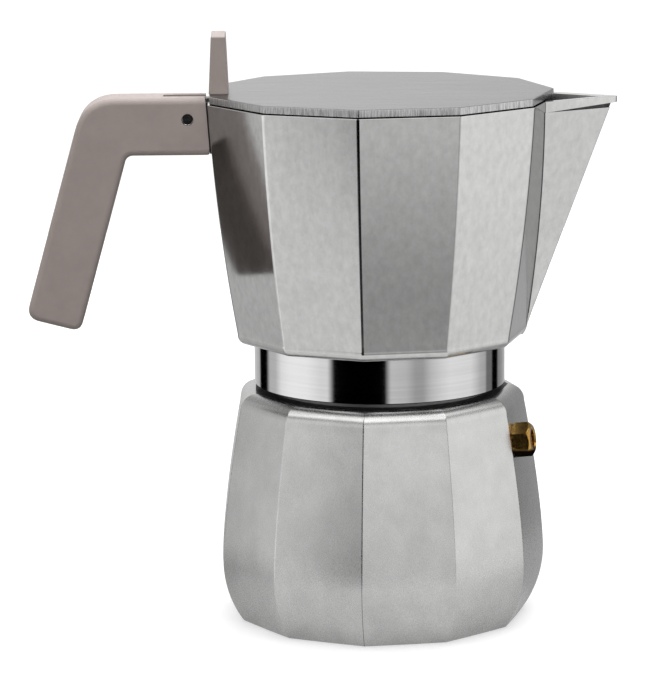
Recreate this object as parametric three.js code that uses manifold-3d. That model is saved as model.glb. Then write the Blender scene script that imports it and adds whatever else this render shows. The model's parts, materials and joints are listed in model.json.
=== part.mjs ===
// Stovetop moka pot with an eleven-sided boiler and collector.
// Millimetres, +Z up. The origin is the centre of the flat base, the spout points to +X, the handle to -X.
// Angles round the pot are measured from -Y towards +X, so a point at angle a and radius r
// is at (r sin a, -r cos a).
import * as THREE from 'three';
import { mergeVertices } from 'three/addons/utils/BufferGeometryUtils.js';
import Module from 'manifold-3d';

const wasm = await Module();
wasm.setup();

// ---------------------------------------------------------------- driving dimensions
const SIDES = 11;
const FIRST_CORNER = Math.PI / 2;
const FLAT_RATIO = Math.cos(Math.PI / SIDES);
const GAP = 0.3;
const ROUND = 33;

// boiler, radii to the corners of the polygon
const BASE_RADIUS = 47.8;
const BASE_EDGE = 0.5;
const BELLY_RADIUS = 54.7;
const BELLY_Z = 21;
const SHOULDER_RADIUS = 48.2;
const SHOULDER_Z = 71.2;
const SHOULDER_FILLET = 5.5;
const BOILER_TOP = SHOULDER_Z + SHOULDER_FILLET;
const BELLY_CURVE = 1.45;
const BOILER_WALL = 3.2;
const BOILER_FLOOR = 3.5;
const MOUTH_RADIUS = 33.5;
const NECK_RADIUS = 37;
const NECK_TOP = 86.5;

// screw joint between boiler and collector
const THREAD_PITCH = 3;
const THREAD_HEIGHT = 1;
const THREAD_WIDTH = 1.8;
const THREAD_TURNS = 1.75;
const BOILER_THREAD_Z = BOILER_TOP + 1.8;
const SKIRT_RADIUS = 41.5;
const SKIRT_BOTTOM = 78.5;
const SKIRT_BORE = 39.5;
const SKIRT_BORE_TOP = 87.7;
const COLLECTOR_THREAD_Z = SKIRT_BOTTOM + 1.6;

// collector, radii to the corners of the polygon
const FOOT_RADIUS = 48.9;
const FOOT_Z = 93.4;
const FOOT_FILLET = 3.2;
const WAIST_Z = 97;
const RIM_Z = 172.6;
const RIM_RADIUS = 58.1;
const RIM_SLOPE = 4.6;
const COLLECTOR_WALL = 2.8;
const COLLECTOR_FLOOR = 99.5;
const FLOOR_EASE = 3;
const SEAT_RADIUS = 36.7;
const SEAT_TOP = 92;
const PLATE_SEAT_RADIUS = 31.4;
const DOME_FOOT = 27;
const DOME_TOP = 97;

// spout
const NOSE_X = 49.35;
const NOSE_Z = 97;
const NOSE_LEAN = 0.374;
const SPOUT_HALF_ANGLE = 34.3 * Math.PI / 180;
const SPOUT_WALL = 2.2;
const SPOUT_ROOT_X = 30;
const CHANNEL_BOTTOM = 104;
const LIP_PROUD = 0.95;
const LIP_TIP_DROP = 2;
const LIP_ROOT_DROP = 3.6;
const LIP_ROOT_X = 53;
const LIP_TIP_HALF_WIDTH = 0.7;

// lid, hinge and knob
const LID_RADIUS = 57.5;
const LID_BOTTOM = RIM_Z + GAP;
const LID_TOP = 175.3;
const LID_RING_OUTER = 50.5;
const LID_RING_INNER = 48.5;
const LID_RING_DEPTH = 2;
const HINGE_X = -62.4;
const HINGE_Z = 167;
const PIN_RADIUS = 1.6;
const PIN_HOLE = PIN_RADIUS + 0.35;
const PIN_HEAD_RADIUS = 2;
const PIN_HEAD = 1;
const PIN_RECESS = 1;
const SCREW_SOCKET = 0.9;
const SCREW_SOCKET_DEPTH = 0.6;
const TONGUE_HALF_WIDTH = 2.2;
const TONGUE_EYE = 3.7;
const SLOT_HALF_WIDTH = 2.6;
const KNOB_BACK = -55.4;
const KNOB_FRONT = -49;
const KNOB_TOP = 194.1;
const KNOB_HALF_WIDTH = 10.5;
const KNOB_SCREW_X = -52.2;
const KNOB_SCREW_Y = 5.4;
const KNOB_SCREW_RADIUS = 1;
const KNOB_SCREW_HEAD = 1.9;
const KNOB_SCREW_TOP = 182;

// handle and the two ears it is pinned to
const HANDLE_HALF_WIDTH = 9;
const HANDLE_TOP = 174;
const ARM_BOTTOM = 155.2;
const HANDLE_ROUND = 2;
const EAR_INNER = 2.9;
const EAR_OUTER = 5.3;
const EAR_BOTTOM = 160.5;
const EAR_TOP = 171;
const EAR_END_X = -66.6;
const NOTCH_Z = 167.2;
const FACE_GAP = 0.4;

// inner pieces
const FUNNEL_RADIUS = 33.1;
const FUNNEL_SHEET = 1;
const FUNNEL_FLANGE = 35.8;
const BASKET_FLOOR = 66.4;
const STEM_RADIUS = 5.2;
const STEM_BOTTOM = 9;
const FUNNEL_PLATE_RADIUS = 31.7;
const FILTER_PLATE_RADIUS = 31;
const PLATE_THICKNESS = 1;
const HOLE_RADIUS = 1.2;
const HOLE_PITCH = 7;
const HOLE_FIELD = 26;
const GASKET_INNER = 29;
const GASKET_OUTER = 36.3;
const GASKET_HEIGHT = 3.4;
const COLUMN_TOP = 150;
const COLUMN_BORE = 2.6;
const COLUMN_SPIGOT = 5;
const COLUMN_FOOT = 7;
const COLUMN_TIP = 4.4;
const COLUMN_SEGMENTS = 24;

// safety valve, on its own axis: u runs outwards from the spot face machined in the boiler
const VALVE_ANGLE = 63.61 * Math.PI / 180;
const VALVE_FACING = 73.636 * Math.PI / 180;
const VALVE_TILT = 7.5 * Math.PI / 180;
const VALVE_Z = 62.1;
const VALVE_REACH = 48.27;
const SPOT_FACE_RADIUS = 5.4;
const BOSS_RADIUS = 7.5;
const BOSS_DEPTH = 6;
const HEX_RADIUS = 5.75;
const HEX_LENGTH = 5.2;
const HEX_CHAMFER = 1.2;
const WASHER_THICKNESS = 0.6;
const WASHER_RADIUS = 5;
const SHANK_RADIUS = 4.4;
const SHANK_END = -6.8;
const CHAMBER_RADIUS = 3.2;
const SEAT_WALL = 1.2;
const INLET_RADIUS = 1.3;
const RETAINER_BOTTOM = 3.9;
const RETAINER_THICKNESS = 1;
const POPPET_HEAD = 1;
const POPPET_RADIUS = 2.7;
const POPPET_STEM = 1.1;
const POPPET_END = 5.8;
const SPRING_RADIUS = 2.15;
const SPRING_WIRE = 0.35;
const SPRING_COILS = 4;

// ---------------------------------------------------------------- materials
const cast = new THREE.MeshStandardMaterial({ color: 0xb9b8b6, metalness: 1, roughness: 0.42 });
const steel = new THREE.MeshStandardMaterial({ color: 0xa8a8a8, metalness: 1, roughness: 0.3 });
const pressed = new THREE.MeshStandardMaterial({ color: 0xc4c4c6, metalness: 1, roughness: 0.35 });
const brass = new THREE.MeshStandardMaterial({ color: 0xb58a3a, metalness: 1, roughness: 0.32 });
const plastic = new THREE.MeshStandardMaterial({ color: 0x9c8d88, metalness: 0, roughness: 0.5 });
const silicone = new THREE.MeshStandardMaterial({ color: 0xe9e6df, metalness: 0, roughness: 0.6 });
const fibre = new THREE.MeshStandardMaterial({ color: 0x7a3b2a, metalness: 0, roughness: 0.8 });

// ---------------------------------------------------------------- solids and joins
function signedVolume(positions, triangles) {
  const a = new THREE.Vector3();
  const b = new THREE.Vector3();
  const c = new THREE.Vector3();
  let sum = 0;
  for (let i = 0; i < triangles.length; i += 3) {
    a.fromArray(positions, 3 * triangles[i]);
    b.fromArray(positions, 3 * triangles[i + 1]);
    c.fromArray(positions, 3 * triangles[i + 2]);
    sum += a.dot(b.cross(c)) / 6;
  }
  return sum;
}

// A closed geometry as a solid, with its faces pointing out.
function solid(geometry) {
  const bare = geometry.clone();
  bare.deleteAttribute('normal');
  bare.deleteAttribute('uv');
  const merged = mergeVertices(bare, 1e-4);
  const index = merged.index.array;
  const triangles = [];
  for (let i = 0; i < index.length; i += 3) {
    const [a, b, c] = [index[i], index[i + 1], index[i + 2]];
    if (a !== b && b !== c && c !== a) triangles.push(a, b, c);
  }
  const positions = new Float32Array(merged.attributes.position.array);
  if (signedVolume(positions, triangles) < 0) triangles.reverse();
  const triVerts = new Uint32Array(triangles);
  return new wasm.Manifold(new wasm.Mesh({ numProp: 3, vertProperties: positions, triVerts }));
}

function joined(...solids) {
  return solids.reduce((sum, next) => sum.add(next));
}

function cut(body, ...tools) {
  return tools.reduce((rest, tool) => rest.subtract(tool), body);
}

const pot = new THREE.Group();

// Adds a solid to the model as a mesh with its own material.
function place(name, body, material, matrix) {
  const { numProp, vertProperties, triVerts } = body.getMesh();
  const positions = new Float32Array(vertProperties.length / numProp * 3);
  for (let i = 0; i < positions.length / 3; i += 1) {
    positions.set(vertProperties.subarray(i * numProp, i * numProp + 3), i * 3);
  }
  const indexed = new THREE.BufferGeometry();
  indexed.setAttribute('position', new THREE.BufferAttribute(positions, 3));
  indexed.setIndex(new THREE.BufferAttribute(new Uint32Array(triVerts), 1));
  const geometry = indexed.toNonIndexed();
  geometry.computeVertexNormals();
  const mesh = new THREE.Mesh(geometry, material.clone());
  mesh.name = name;
  if (matrix) mesh.applyMatrix4(matrix);
  pot.add(mesh);
}

// ---------------------------------------------------------------- shape helpers
// Turns a profile of [radius, z] points about Z. Few segments make a faceted body.
function turned(profile, segments = ROUND, start = 0) {
  const points = profile.map(([radius, z]) => new THREE.Vector2(radius, z));
  return solid(new THREE.LatheGeometry(points, segments, start).rotateX(Math.PI / 2));
}

// The profile of a plain cylinder between two heights.
function pillar(radius, bottom, top) {
  return [[0, bottom], [radius, bottom], [radius, top], [0, top]];
}

function faceted(profile) {
  return turned(profile, SIDES, FIRST_CORNER);
}

// A straight extrusion of an outline in the XZ plane, from y = from to y = to.
function slab(outline, from, to) {
  const options = { depth: to - from, bevelEnabled: false, curveSegments: 6 };
  const geometry = new THREE.ExtrudeGeometry(outline, options);
  return solid(geometry.rotateX(Math.PI / 2).translate(0, to, 0));
}

function polygon(points) {
  return new THREE.Shape(points.map(([x, z]) => new THREE.Vector2(x, z)));
}

// An outline through corner points [x, z, radius], each rounded by an arc of its own radius.
function roundedOutline(corners) {
  const shape = new THREE.Shape();
  corners.forEach(([x, z, radius], i) => {
    const here = new THREE.Vector2(x, z);
    const before = new THREE.Vector2(...corners.at(i - 1).slice(0, 2));
    const after = new THREE.Vector2(...corners[(i + 1) % corners.length].slice(0, 2));
    const back = before.sub(here).normalize();
    const ahead = after.sub(here).normalize();
    if (radius === 0) {
      if (i === 0) shape.moveTo(x, z);
      else shape.lineTo(x, z);
      return;
    }
    const halfCorner = Math.acos(back.dot(ahead)) / 2;
    const setback = radius / Math.tan(halfCorner);
    const middle = back.clone().add(ahead).normalize();
    const centre = here.clone().addScaledVector(middle, radius / Math.sin(halfCorner));
    const enter = here.clone().addScaledVector(back, setback);
    const leave = here.clone().addScaledVector(ahead, setback);
    const clockwise = back.cross(ahead) > 0;
    if (i === 0) shape.moveTo(enter.x, enter.y);
    else shape.lineTo(enter.x, enter.y);
    enter.sub(centre);
    leave.sub(centre);
    shape.absarc(centre.x, centre.y, radius, enter.angle(), leave.angle(), clockwise);
  });
  return shape;
}

function arc(centreR, centreZ, radius, fromAngle, toAngle, steps) {
  const points = [];
  for (let i = 0; i <= steps; i += 1) {
    const angle = fromAngle + (toAngle - fromAngle) * i / steps;
    points.push([centreR + radius * Math.cos(angle), centreZ + radius * Math.sin(angle)]);
  }
  return points;
}

function rod(radius, y0, y1, x, z, segments = 24) {
  const geometry = new THREE.CylinderGeometry(radius, radius, y1 - y0, segments);
  return solid(geometry.translate(x, (y0 + y1) / 2, z));
}

function box(x0, x1, y0, y1, z0, z1) {
  const geometry = new THREE.BoxGeometry(x1 - x0, y1 - y0, z1 - z0);
  return solid(geometry.translate((x0 + x1) / 2, (y0 + y1) / 2, (z0 + z1) / 2));
}

// A closed tube of quadrilateral or round sections: rings of equally many points, capped at both ends.
function loft(rings) {
  const count = rings[0].length;
  const positions = rings.flat(2);
  const triangles = [];
  for (let i = 0; i + 1 < rings.length; i += 1) {
    for (let j = 0; j < count; j += 1) {
      const a = i * count + j;
      const b = i * count + (j + 1) % count;
      triangles.push(a, b, b + count, a, b + count, a + count);
    }
  }
  const last = (rings.length - 1) * count;
  for (let j = 1; j + 1 < count; j += 1) {
    triangles.push(0, j + 1, j, last, last + j, last + j + 1);
  }
  const geometry = new THREE.BufferGeometry();
  geometry.setAttribute('position', new THREE.Float32BufferAttribute(positions, 3));
  geometry.setIndex(triangles);
  return solid(geometry);
}

// One helical ridge. Its root is sunk by SUNK into the wall, and its crest stands towards `outwards`.
function threadRidge(rootRadius, outwards, startZ) {
  const SUNK = 0.3;
  const STEPS = 48;
  const rings = [];
  for (let i = 0; i <= STEPS; i += 1) {
    const turn = THREAD_TURNS * i / STEPS;
    const angle = 2 * Math.PI * turn;
    const fade = Math.min(1, 6 * turn, 6 * (THREAD_TURNS - turn));
    const z = startZ + THREAD_PITCH * turn;
    const crest = rootRadius + outwards * (THREAD_HEIGHT * fade - SUNK * (1 - fade) / 2);
    const root = rootRadius - outwards * SUNK;
    const at = (radius, height) => [radius * Math.sin(angle), -radius * Math.cos(angle), z + height];
    const half = THREAD_WIDTH / 2;
    const flat = THREAD_WIDTH / 6;
    rings.push([at(root, -half), at(crest, -flat), at(crest, flat), at(root, half)]);
  }
  return loft(rings);
}

function circlePoints(x, y, radius, count) {
  return Array.from({ length: count }, (_, i) => {
    const angle = 2 * Math.PI * i / count;
    return new THREE.Vector2(x + radius * Math.cos(angle), y + radius * Math.sin(angle));
  });
}

// A flat disc with rows of holes on a triangular grid inside the radius holeField.
function perforatedDisc(radius, holeField, bottomZ) {
  const disc = new THREE.Shape(circlePoints(0, 0, radius, ROUND));
  const rows = Math.ceil(holeField / HOLE_PITCH * 2);
  for (let row = -rows; row <= rows; row += 1) {
    const y = row * HOLE_PITCH * Math.sqrt(3) / 2;
    for (let column = -rows; column <= rows; column += 1) {
      const x = (column + (row % 2 === 0 ? 0 : 0.5)) * HOLE_PITCH;
      if (Math.hypot(x, y) > holeField) continue;
      disc.holes.push(new THREE.Path(circlePoints(x, y, HOLE_RADIUS, 6)));
    }
  }
  const options = { depth: PLATE_THICKNESS, bevelEnabled: false };
  return solid(new THREE.ExtrudeGeometry(disc, options).translate(0, 0, bottomZ));
}

// ---------------------------------------------------------------- boiler
function boilerRadius(z) {
  if (z > BELLY_Z) {
    const rise = (z - BELLY_Z) / (SHOULDER_Z - BELLY_Z);
    return BELLY_RADIUS - (BELLY_RADIUS - SHOULDER_RADIUS) * rise ** BELLY_CURVE;
  }
  const sag = BELLY_RADIUS - BASE_RADIUS;
  const radius = (BELLY_Z ** 2 + sag ** 2) / (2 * sag);
  return BELLY_RADIUS - radius + Math.sqrt(radius ** 2 - (BELLY_Z - z) ** 2);
}

function boilerWall(inset, fromZ, toZ, steps) {
  const points = [];
  for (let i = 0; i <= steps; i += 1) {
    const z = fromZ + (toZ - fromZ) * i / steps;
    points.push([boilerRadius(z) - inset, z]);
  }
  return points;
}

function boilerOutside() {
  const low = boilerWall(0, BASE_EDGE, BELLY_Z, 6);
  const high = boilerWall(0, BELLY_Z, SHOULDER_Z, 8).slice(1, -1);
  const shoulderCentre = SHOULDER_RADIUS - SHOULDER_FILLET;
  const shoulder = arc(shoulderCentre, SHOULDER_Z, SHOULDER_FILLET, 0, Math.PI / 2, 5);
  return faceted([[0, 0], [BASE_RADIUS - BASE_EDGE, 0], ...low, ...high, ...shoulder, [0, BOILER_TOP]]);
}

function boilerInside() {
  const ceiling = BOILER_TOP - BOILER_WALL;
  const walls = boilerWall(BOILER_WALL, BOILER_FLOOR, SHOULDER_Z - 2, 9);
  const slope = SHOULDER_RADIUS - BOILER_WALL - SHOULDER_FILLET;
  return faceted([[0, BOILER_FLOOR], ...walls, [slope, ceiling], [0, ceiling]]);
}

function boiler() {
  const below = BOILER_TOP - BOILER_WALL - 1;
  const neck = turned(pillar(NECK_RADIUS, below, NECK_TOP));
  const mouth = turned(pillar(MOUTH_RADIUS, below - 1, NECK_TOP + 1));
  const thread = threadRidge(NECK_RADIUS, 1, BOILER_THREAD_Z);
  const shell = cut(joined(boilerOutside(), neck, thread), boilerInside(), mouth);
  const boss = alongValve(pillar(BOSS_RADIUS, -BOSS_DEPTH, -1));
  const hole = SHANK_RADIUS + GAP;
  const valveSeat = alongValve([
    [0, -BOSS_DEPTH - 3], [hole, -BOSS_DEPTH - 3], [hole, 0],
    [SPOT_FACE_RADIUS, 0], [SPOT_FACE_RADIUS, BOSS_DEPTH], [0, BOSS_DEPTH],
  ]);
  return cut(joined(shell, boss), valveSeat);
}

// ---------------------------------------------------------------- safety valve
function valveMatrix() {
  const outwards = new THREE.Vector3(
    Math.sin(VALVE_FACING) * Math.cos(VALVE_TILT),
    -Math.cos(VALVE_FACING) * Math.cos(VALVE_TILT),
    Math.sin(VALVE_TILT),
  );
  const sideways = new THREE.Vector3(Math.cos(VALVE_FACING), Math.sin(VALVE_FACING), 0);
  const upwards = outwards.clone().cross(sideways);
  const matrix = new THREE.Matrix4().makeBasis(sideways, upwards, outwards);
  const [x, y] = [VALVE_REACH * Math.sin(VALVE_ANGLE), -VALVE_REACH * Math.cos(VALVE_ANGLE)];
  return matrix.setPosition(x, y, VALVE_Z);
}

function alongValve(profile) {
  const points = profile.map(([radius, u]) => new THREE.Vector2(radius, u));
  const geometry = new THREE.LatheGeometry(points, 24).rotateX(Math.PI / 2);
  return solid(geometry.applyMatrix4(valveMatrix()));
}

function valveBody() {
  const hexBottom = WASHER_THICKNESS + 2 * GAP;
  const hexTop = hexBottom + HEX_LENGTH;
  const hex = new THREE.CylinderGeometry(HEX_RADIUS, HEX_RADIUS, HEX_LENGTH, 6);
  const hexagon = solid(hex.rotateX(Math.PI / 2).translate(0, 0, (hexBottom + hexTop) / 2));
  const chamfer = turned([
    [0, hexBottom - 1], [HEX_RADIUS + 1, hexBottom - 1], [HEX_RADIUS + 1, hexTop - 2.2],
    [HEX_RADIUS - HEX_CHAMFER, hexTop + 0.1], [0, hexTop + 0.1],
  ], 24);
  const seat = SHANK_END + SEAT_WALL;
  const shank = turned(pillar(SHANK_RADIUS, SHANK_END, hexTop - 1), 24);
  const chamber = turned(pillar(CHAMBER_RADIUS, seat, hexTop + 1), 24);
  const inlet = turned(pillar(INLET_RADIUS, SHANK_END - 1, seat + 1), 16);
  return cut(joined(hexagon.intersect(chamfer), shank), chamber, inlet);
}

// Where the poppet's head rests on the seat, and the height above it that the spring presses on.
const POPPET_FACE = SHANK_END + SEAT_WALL + GAP;
const POPPET_BACK = POPPET_FACE + POPPET_HEAD;

function valveSpring() {
  const start = POPPET_BACK + GAP + SPRING_WIRE;
  const end = RETAINER_BOTTOM - GAP - SPRING_WIRE;
  class Coil extends THREE.Curve {
    getPoint(t) {
      const angle = 2 * Math.PI * SPRING_COILS * t;
      const u = start + (end - start) * t;
      return new THREE.Vector3(SPRING_RADIUS * Math.cos(angle), SPRING_RADIUS * Math.sin(angle), u);
    }
  }
  const wire = new THREE.Shape().absarc(0, 0, SPRING_WIRE, 0, 2 * Math.PI);
  const steps = 12 * SPRING_COILS;
  const options = { extrudePath: new Coil(), steps, curveSegments: 3, bevelEnabled: false };
  return solid(new THREE.ExtrudeGeometry(wire, options));
}

function ringProfile(inner, outer, bottom, top) {
  return [[inner, bottom], [outer, bottom], [outer, top], [inner, top], [inner, bottom]];
}

function valvePieces() {
  const matrix = valveMatrix();
  const washer = ringProfile(SHANK_RADIUS + GAP, WASHER_RADIUS, GAP, GAP + WASHER_THICKNESS);
  const retainerTop = RETAINER_BOTTOM + RETAINER_THICKNESS;
  const retainer = ringProfile(POPPET_STEM + GAP, CHAMBER_RADIUS - GAP, RETAINER_BOTTOM, retainerTop);
  const poppet = [
    [0, POPPET_FACE], [POPPET_RADIUS, POPPET_FACE], [POPPET_RADIUS, POPPET_BACK],
    [POPPET_STEM, POPPET_BACK], [POPPET_STEM, POPPET_END - 0.4], [POPPET_STEM - 0.4, POPPET_END],
    [0, POPPET_END],
  ];
  place('valve_body', valveBody(), brass, matrix);
  place('valve_washer', turned(washer, 24), fibre, matrix);
  place('valve_retainer', turned(retainer, 24), steel, matrix);
  place('valve_poppet', turned(poppet, 16), steel, matrix);
  place('valve_spring', valveSpring(), steel, matrix);
}

// ---------------------------------------------------------------- funnel, plates and gasket
function funnel() {
  const outer = FUNNEL_RADIUS;
  const inner = FUNNEL_RADIUS - FUNNEL_SHEET;
  const flangeBottom = NECK_TOP + GAP;
  const flangeTop = flangeBottom + FUNNEL_SHEET + 0.2;
  return turned([
    [FUNNEL_FLANGE, flangeTop], [inner, flangeTop],
    [inner, BASKET_FLOOR + 1.4], [inner - 1.6, BASKET_FLOOR],
    [STEM_RADIUS, BASKET_FLOOR - 4], [STEM_RADIUS - FUNNEL_SHEET, BASKET_FLOOR - 6],
    [STEM_RADIUS - FUNNEL_SHEET, STEM_BOTTOM], [STEM_RADIUS, STEM_BOTTOM],
    [STEM_RADIUS, BASKET_FLOOR - 6], [STEM_RADIUS + 1, BASKET_FLOOR - 5], [inner - 1.2, BASKET_FLOOR - 1.1],
    [outer, BASKET_FLOOR + 1.2], [outer, flangeBottom], [FUNNEL_FLANGE, flangeBottom],
    [FUNNEL_FLANGE, flangeTop],
  ]);
}

function gasket() {
  const bottom = SEAT_TOP - GAP - GASKET_HEIGHT;
  const top = SEAT_TOP - GAP;
  const ease = 0.6;
  return turned([
    [GASKET_INNER, bottom + ease], [GASKET_INNER + ease, bottom], [GASKET_OUTER - ease, bottom],
    [GASKET_OUTER, bottom + ease], [GASKET_OUTER, top - ease], [GASKET_OUTER - ease, top],
    [GASKET_INNER + ease, top], [GASKET_INNER, top - ease], [GASKET_INNER, bottom + ease],
  ]);
}

// ---------------------------------------------------------------- collector
function collectorRadius(z) {
  const drop = (RIM_Z - z) / (RIM_Z - WAIST_Z);
  const fall = RIM_RADIUS - FOOT_RADIUS;
  return RIM_RADIUS - RIM_SLOPE * drop - (fall - RIM_SLOPE) * drop ** 2;
}

function collectorWall(inset, fromZ, toZ, steps) {
  const points = [];
  for (let i = 0; i <= steps; i += 1) {
    const z = fromZ + (toZ - fromZ) * i / steps;
    points.push([collectorRadius(z) - inset, z]);
  }
  return points;
}

function noseX(z) {
  return NOSE_X + NOSE_LEAN * (z - NOSE_Z);
}

// A triangular wedge with its sharp edge on the nose line, moved back by setback along X.
function spoutWedge(setback, fromZ, toZ) {
  const ring = (z) => {
    const tip = noseX(z) - setback;
    const half = (tip - SPOUT_ROOT_X) * Math.tan(SPOUT_HALF_ANGLE);
    return [[tip, 0, z], [SPOUT_ROOT_X, half, z], [SPOUT_ROOT_X, -half, z]];
  };
  return loft([ring(fromZ), ring(toZ)]);
}

function spoutLip() {
  const tipX = noseX(RIM_Z) + LIP_PROUD;
  const rootHalf = (noseX(RIM_Z) - LIP_ROOT_X) * Math.tan(SPOUT_HALF_ANGLE);
  const ring = (tipZ, rootZ) => [
    [tipX, LIP_TIP_HALF_WIDTH, tipZ], [LIP_ROOT_X, rootHalf, rootZ],
    [LIP_ROOT_X, -rootHalf, rootZ], [tipX, -LIP_TIP_HALF_WIDTH, tipZ],
  ];
  return loft([ring(RIM_Z - LIP_TIP_DROP, RIM_Z - LIP_ROOT_DROP), ring(RIM_Z, RIM_Z)]);
}

function ear(side) {
  const outline = roundedOutline([
    [-50, EAR_BOTTOM, 0], [-50, EAR_TOP, 0], [EAR_END_X, EAR_TOP, 3.5], [EAR_END_X, EAR_BOTTOM, 3.5],
  ]);
  const from = side > 0 ? EAR_INNER : -EAR_OUTER;
  return slab(outline, from, from + EAR_OUTER - EAR_INNER);
}

function collectorOutside() {
  const foot = arc(FOOT_RADIUS - FOOT_FILLET, FOOT_Z + FOOT_FILLET, FOOT_FILLET, -Math.PI / 2, 0, 4);
  const walls = collectorWall(0, WAIST_Z, RIM_Z, 10);
  const cup = faceted([[0, FOOT_Z], ...foot, ...walls, [0, RIM_Z]]);
  const skirt = turned(pillar(SKIRT_RADIUS, SKIRT_BOTTOM, WAIST_Z - 1));
  const spout = spoutWedge(0, NOSE_Z, RIM_Z);
  return joined(cup, skirt, spout, spoutLip(), ear(1), ear(-1));
}

function collectorInside() {
  const walls = collectorWall(COLLECTOR_WALL, COLLECTOR_FLOOR + FLOOR_EASE, RIM_Z + 1, 9);
  const flatFloor = collectorRadius(COLLECTOR_FLOOR) - COLLECTOR_WALL - FLOOR_EASE;
  return faceted([[0, COLLECTOR_FLOOR], [flatFloor, COLLECTOR_FLOOR], ...walls, [0, RIM_Z + 1]]);
}

// The space under the collector's floor: the threaded bore, the gasket's seat and the strainer's dome.
function collectorUnder() {
  const plateTop = SEAT_TOP + PLATE_THICKNESS + 0.4;
  return turned([
    [0, SKIRT_BOTTOM - 1], [SKIRT_BORE, SKIRT_BOTTOM - 1], [SKIRT_BORE, SKIRT_BORE_TOP],
    [SEAT_RADIUS, SKIRT_BORE_TOP], [SEAT_RADIUS, SEAT_TOP], [PLATE_SEAT_RADIUS, SEAT_TOP],
    [PLATE_SEAT_RADIUS, plateTop], [DOME_FOOT, plateTop], [DOME_FOOT - 3, DOME_TOP], [0, DOME_TOP],
  ]);
}

function collector() {
  const channel = spoutWedge(SPOUT_WALL / Math.sin(SPOUT_HALF_ANGLE), CHANNEL_BOTTOM, RIM_Z + 1);
  const columnHole = turned(pillar(COLUMN_SPIGOT + GAP, DOME_TOP - 5, COLLECTOR_FLOOR + 5));
  const pinHole = rod(PIN_HOLE, -10, 10, HINGE_X, HINGE_Z);
  const notch = box(-60, -50, -SLOT_HALF_WIDTH, SLOT_HALF_WIDTH, NOTCH_Z, RIM_Z + 1);
  const inside = joined(collectorInside(), channel, collectorUnder(), columnHole);
  const thread = threadRidge(SKIRT_BORE, -1, COLLECTOR_THREAD_Z);
  return joined(cut(collectorOutside(), inside, pinHole, notch), thread);
}

function column() {
  const tube = turned([
    [COLUMN_BORE, DOME_TOP - 0.5], [COLUMN_SPIGOT, DOME_TOP - 0.5], [COLUMN_SPIGOT, COLLECTOR_FLOOR + GAP],
    [COLUMN_FOOT, COLLECTOR_FLOOR + GAP], [COLUMN_FOOT - 0.8, COLLECTOR_FLOOR + 6],
    [COLUMN_TIP, COLUMN_TOP], [COLUMN_BORE, COLUMN_TOP], [COLUMN_BORE, DOME_TOP - 0.5],
  ], COLUMN_SEGMENTS);
  const outlet = box(-1.6, 1.6, -COLUMN_FOOT, COLUMN_FOOT, COLUMN_TOP - 4, COLUMN_TOP + 1);
  return cut(tube, outlet);
}

function columnCap() {
  return turned([
    [0, COLUMN_TOP - 1.5], [COLUMN_BORE - GAP, COLUMN_TOP - 1.5], [COLUMN_BORE - GAP, COLUMN_TOP + GAP],
    [COLUMN_TIP + 1, COLUMN_TOP + GAP], [COLUMN_TIP + 0.6, COLUMN_TOP + 1.4], [0, COLUMN_TOP + 2.4],
  ], COLUMN_SEGMENTS);
}

// ---------------------------------------------------------------- lid and knob
function knobScrewPlaces() {
  return [-KNOB_SCREW_Y, KNOB_SCREW_Y];
}

// A countersunk screw that comes up through the lid into the knob, or the hole for it.
function knobScrew(y, clearance) {
  const head = KNOB_SCREW_HEAD + clearance;
  const shank = KNOB_SCREW_RADIUS + clearance;
  const bottom = clearance > 0 ? LID_BOTTOM - 1 : LID_BOTTOM + 0.1;
  const neck = LID_BOTTOM + 1.2;
  const top = KNOB_SCREW_TOP + clearance;
  const profile = [
    [0, bottom], [head, bottom], [head, LID_BOTTOM + 0.2], [shank, neck], [shank, top], [0, top],
  ];
  const points = profile.map(([radius, z]) => new THREE.Vector2(radius, z));
  const geometry = new THREE.LatheGeometry(points, 16).rotateX(Math.PI / 2);
  return solid(geometry.translate(KNOB_SCREW_X, y, 0));
}

function lid() {
  const plate = faceted([[0, LID_BOTTOM], [LID_RADIUS, LID_BOTTOM], [LID_RADIUS, LID_TOP], [0, LID_TOP]]);
  const ring = turned([
    [LID_RING_INNER, LID_BOTTOM - LID_RING_DEPTH], [LID_RING_OUTER, LID_BOTTOM - LID_RING_DEPTH],
    [LID_RING_OUTER, LID_BOTTOM + 0.5], [LID_RING_INNER, LID_BOTTOM + 0.5],
    [LID_RING_INNER, LID_BOTTOM - LID_RING_DEPTH],
  ]);
  const eye = rod(TONGUE_EYE, -TONGUE_HALF_WIDTH, TONGUE_HALF_WIDTH, HINGE_X, HINGE_Z);
  const arm = slab(polygon([
    [HINGE_X - 1.4, HINGE_Z + 3.4], [-58, LID_BOTTOM + 0.5], [-50, LID_BOTTOM + 0.5],
    [-50, LID_BOTTOM - 2.9], [-55, LID_BOTTOM - 4.6], [HINGE_X + 2.6, HINGE_Z - 2.6],
  ]), -TONGUE_HALF_WIDTH, TONGUE_HALF_WIDTH);
  const pinHole = rod(PIN_HOLE, -10, 10, HINGE_X, HINGE_Z);
  const screwHoles = knobScrewPlaces().map((y) => knobScrew(y, GAP));
  return cut(joined(plate, ring, eye, arm), pinHole, ...screwHoles);
}

function knob() {
  const bottom = LID_TOP + GAP;
  const outline = polygon([
    [KNOB_BACK, bottom], [KNOB_FRONT, bottom], [KNOB_FRONT - 0.8, KNOB_TOP], [KNOB_BACK + 0.9, KNOB_TOP],
  ]);
  const body = slab(outline, -KNOB_HALF_WIDTH, KNOB_HALF_WIDTH);
  return cut(body, ...knobScrewPlaces().map((y) => knobScrew(y, GAP)));
}

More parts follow.
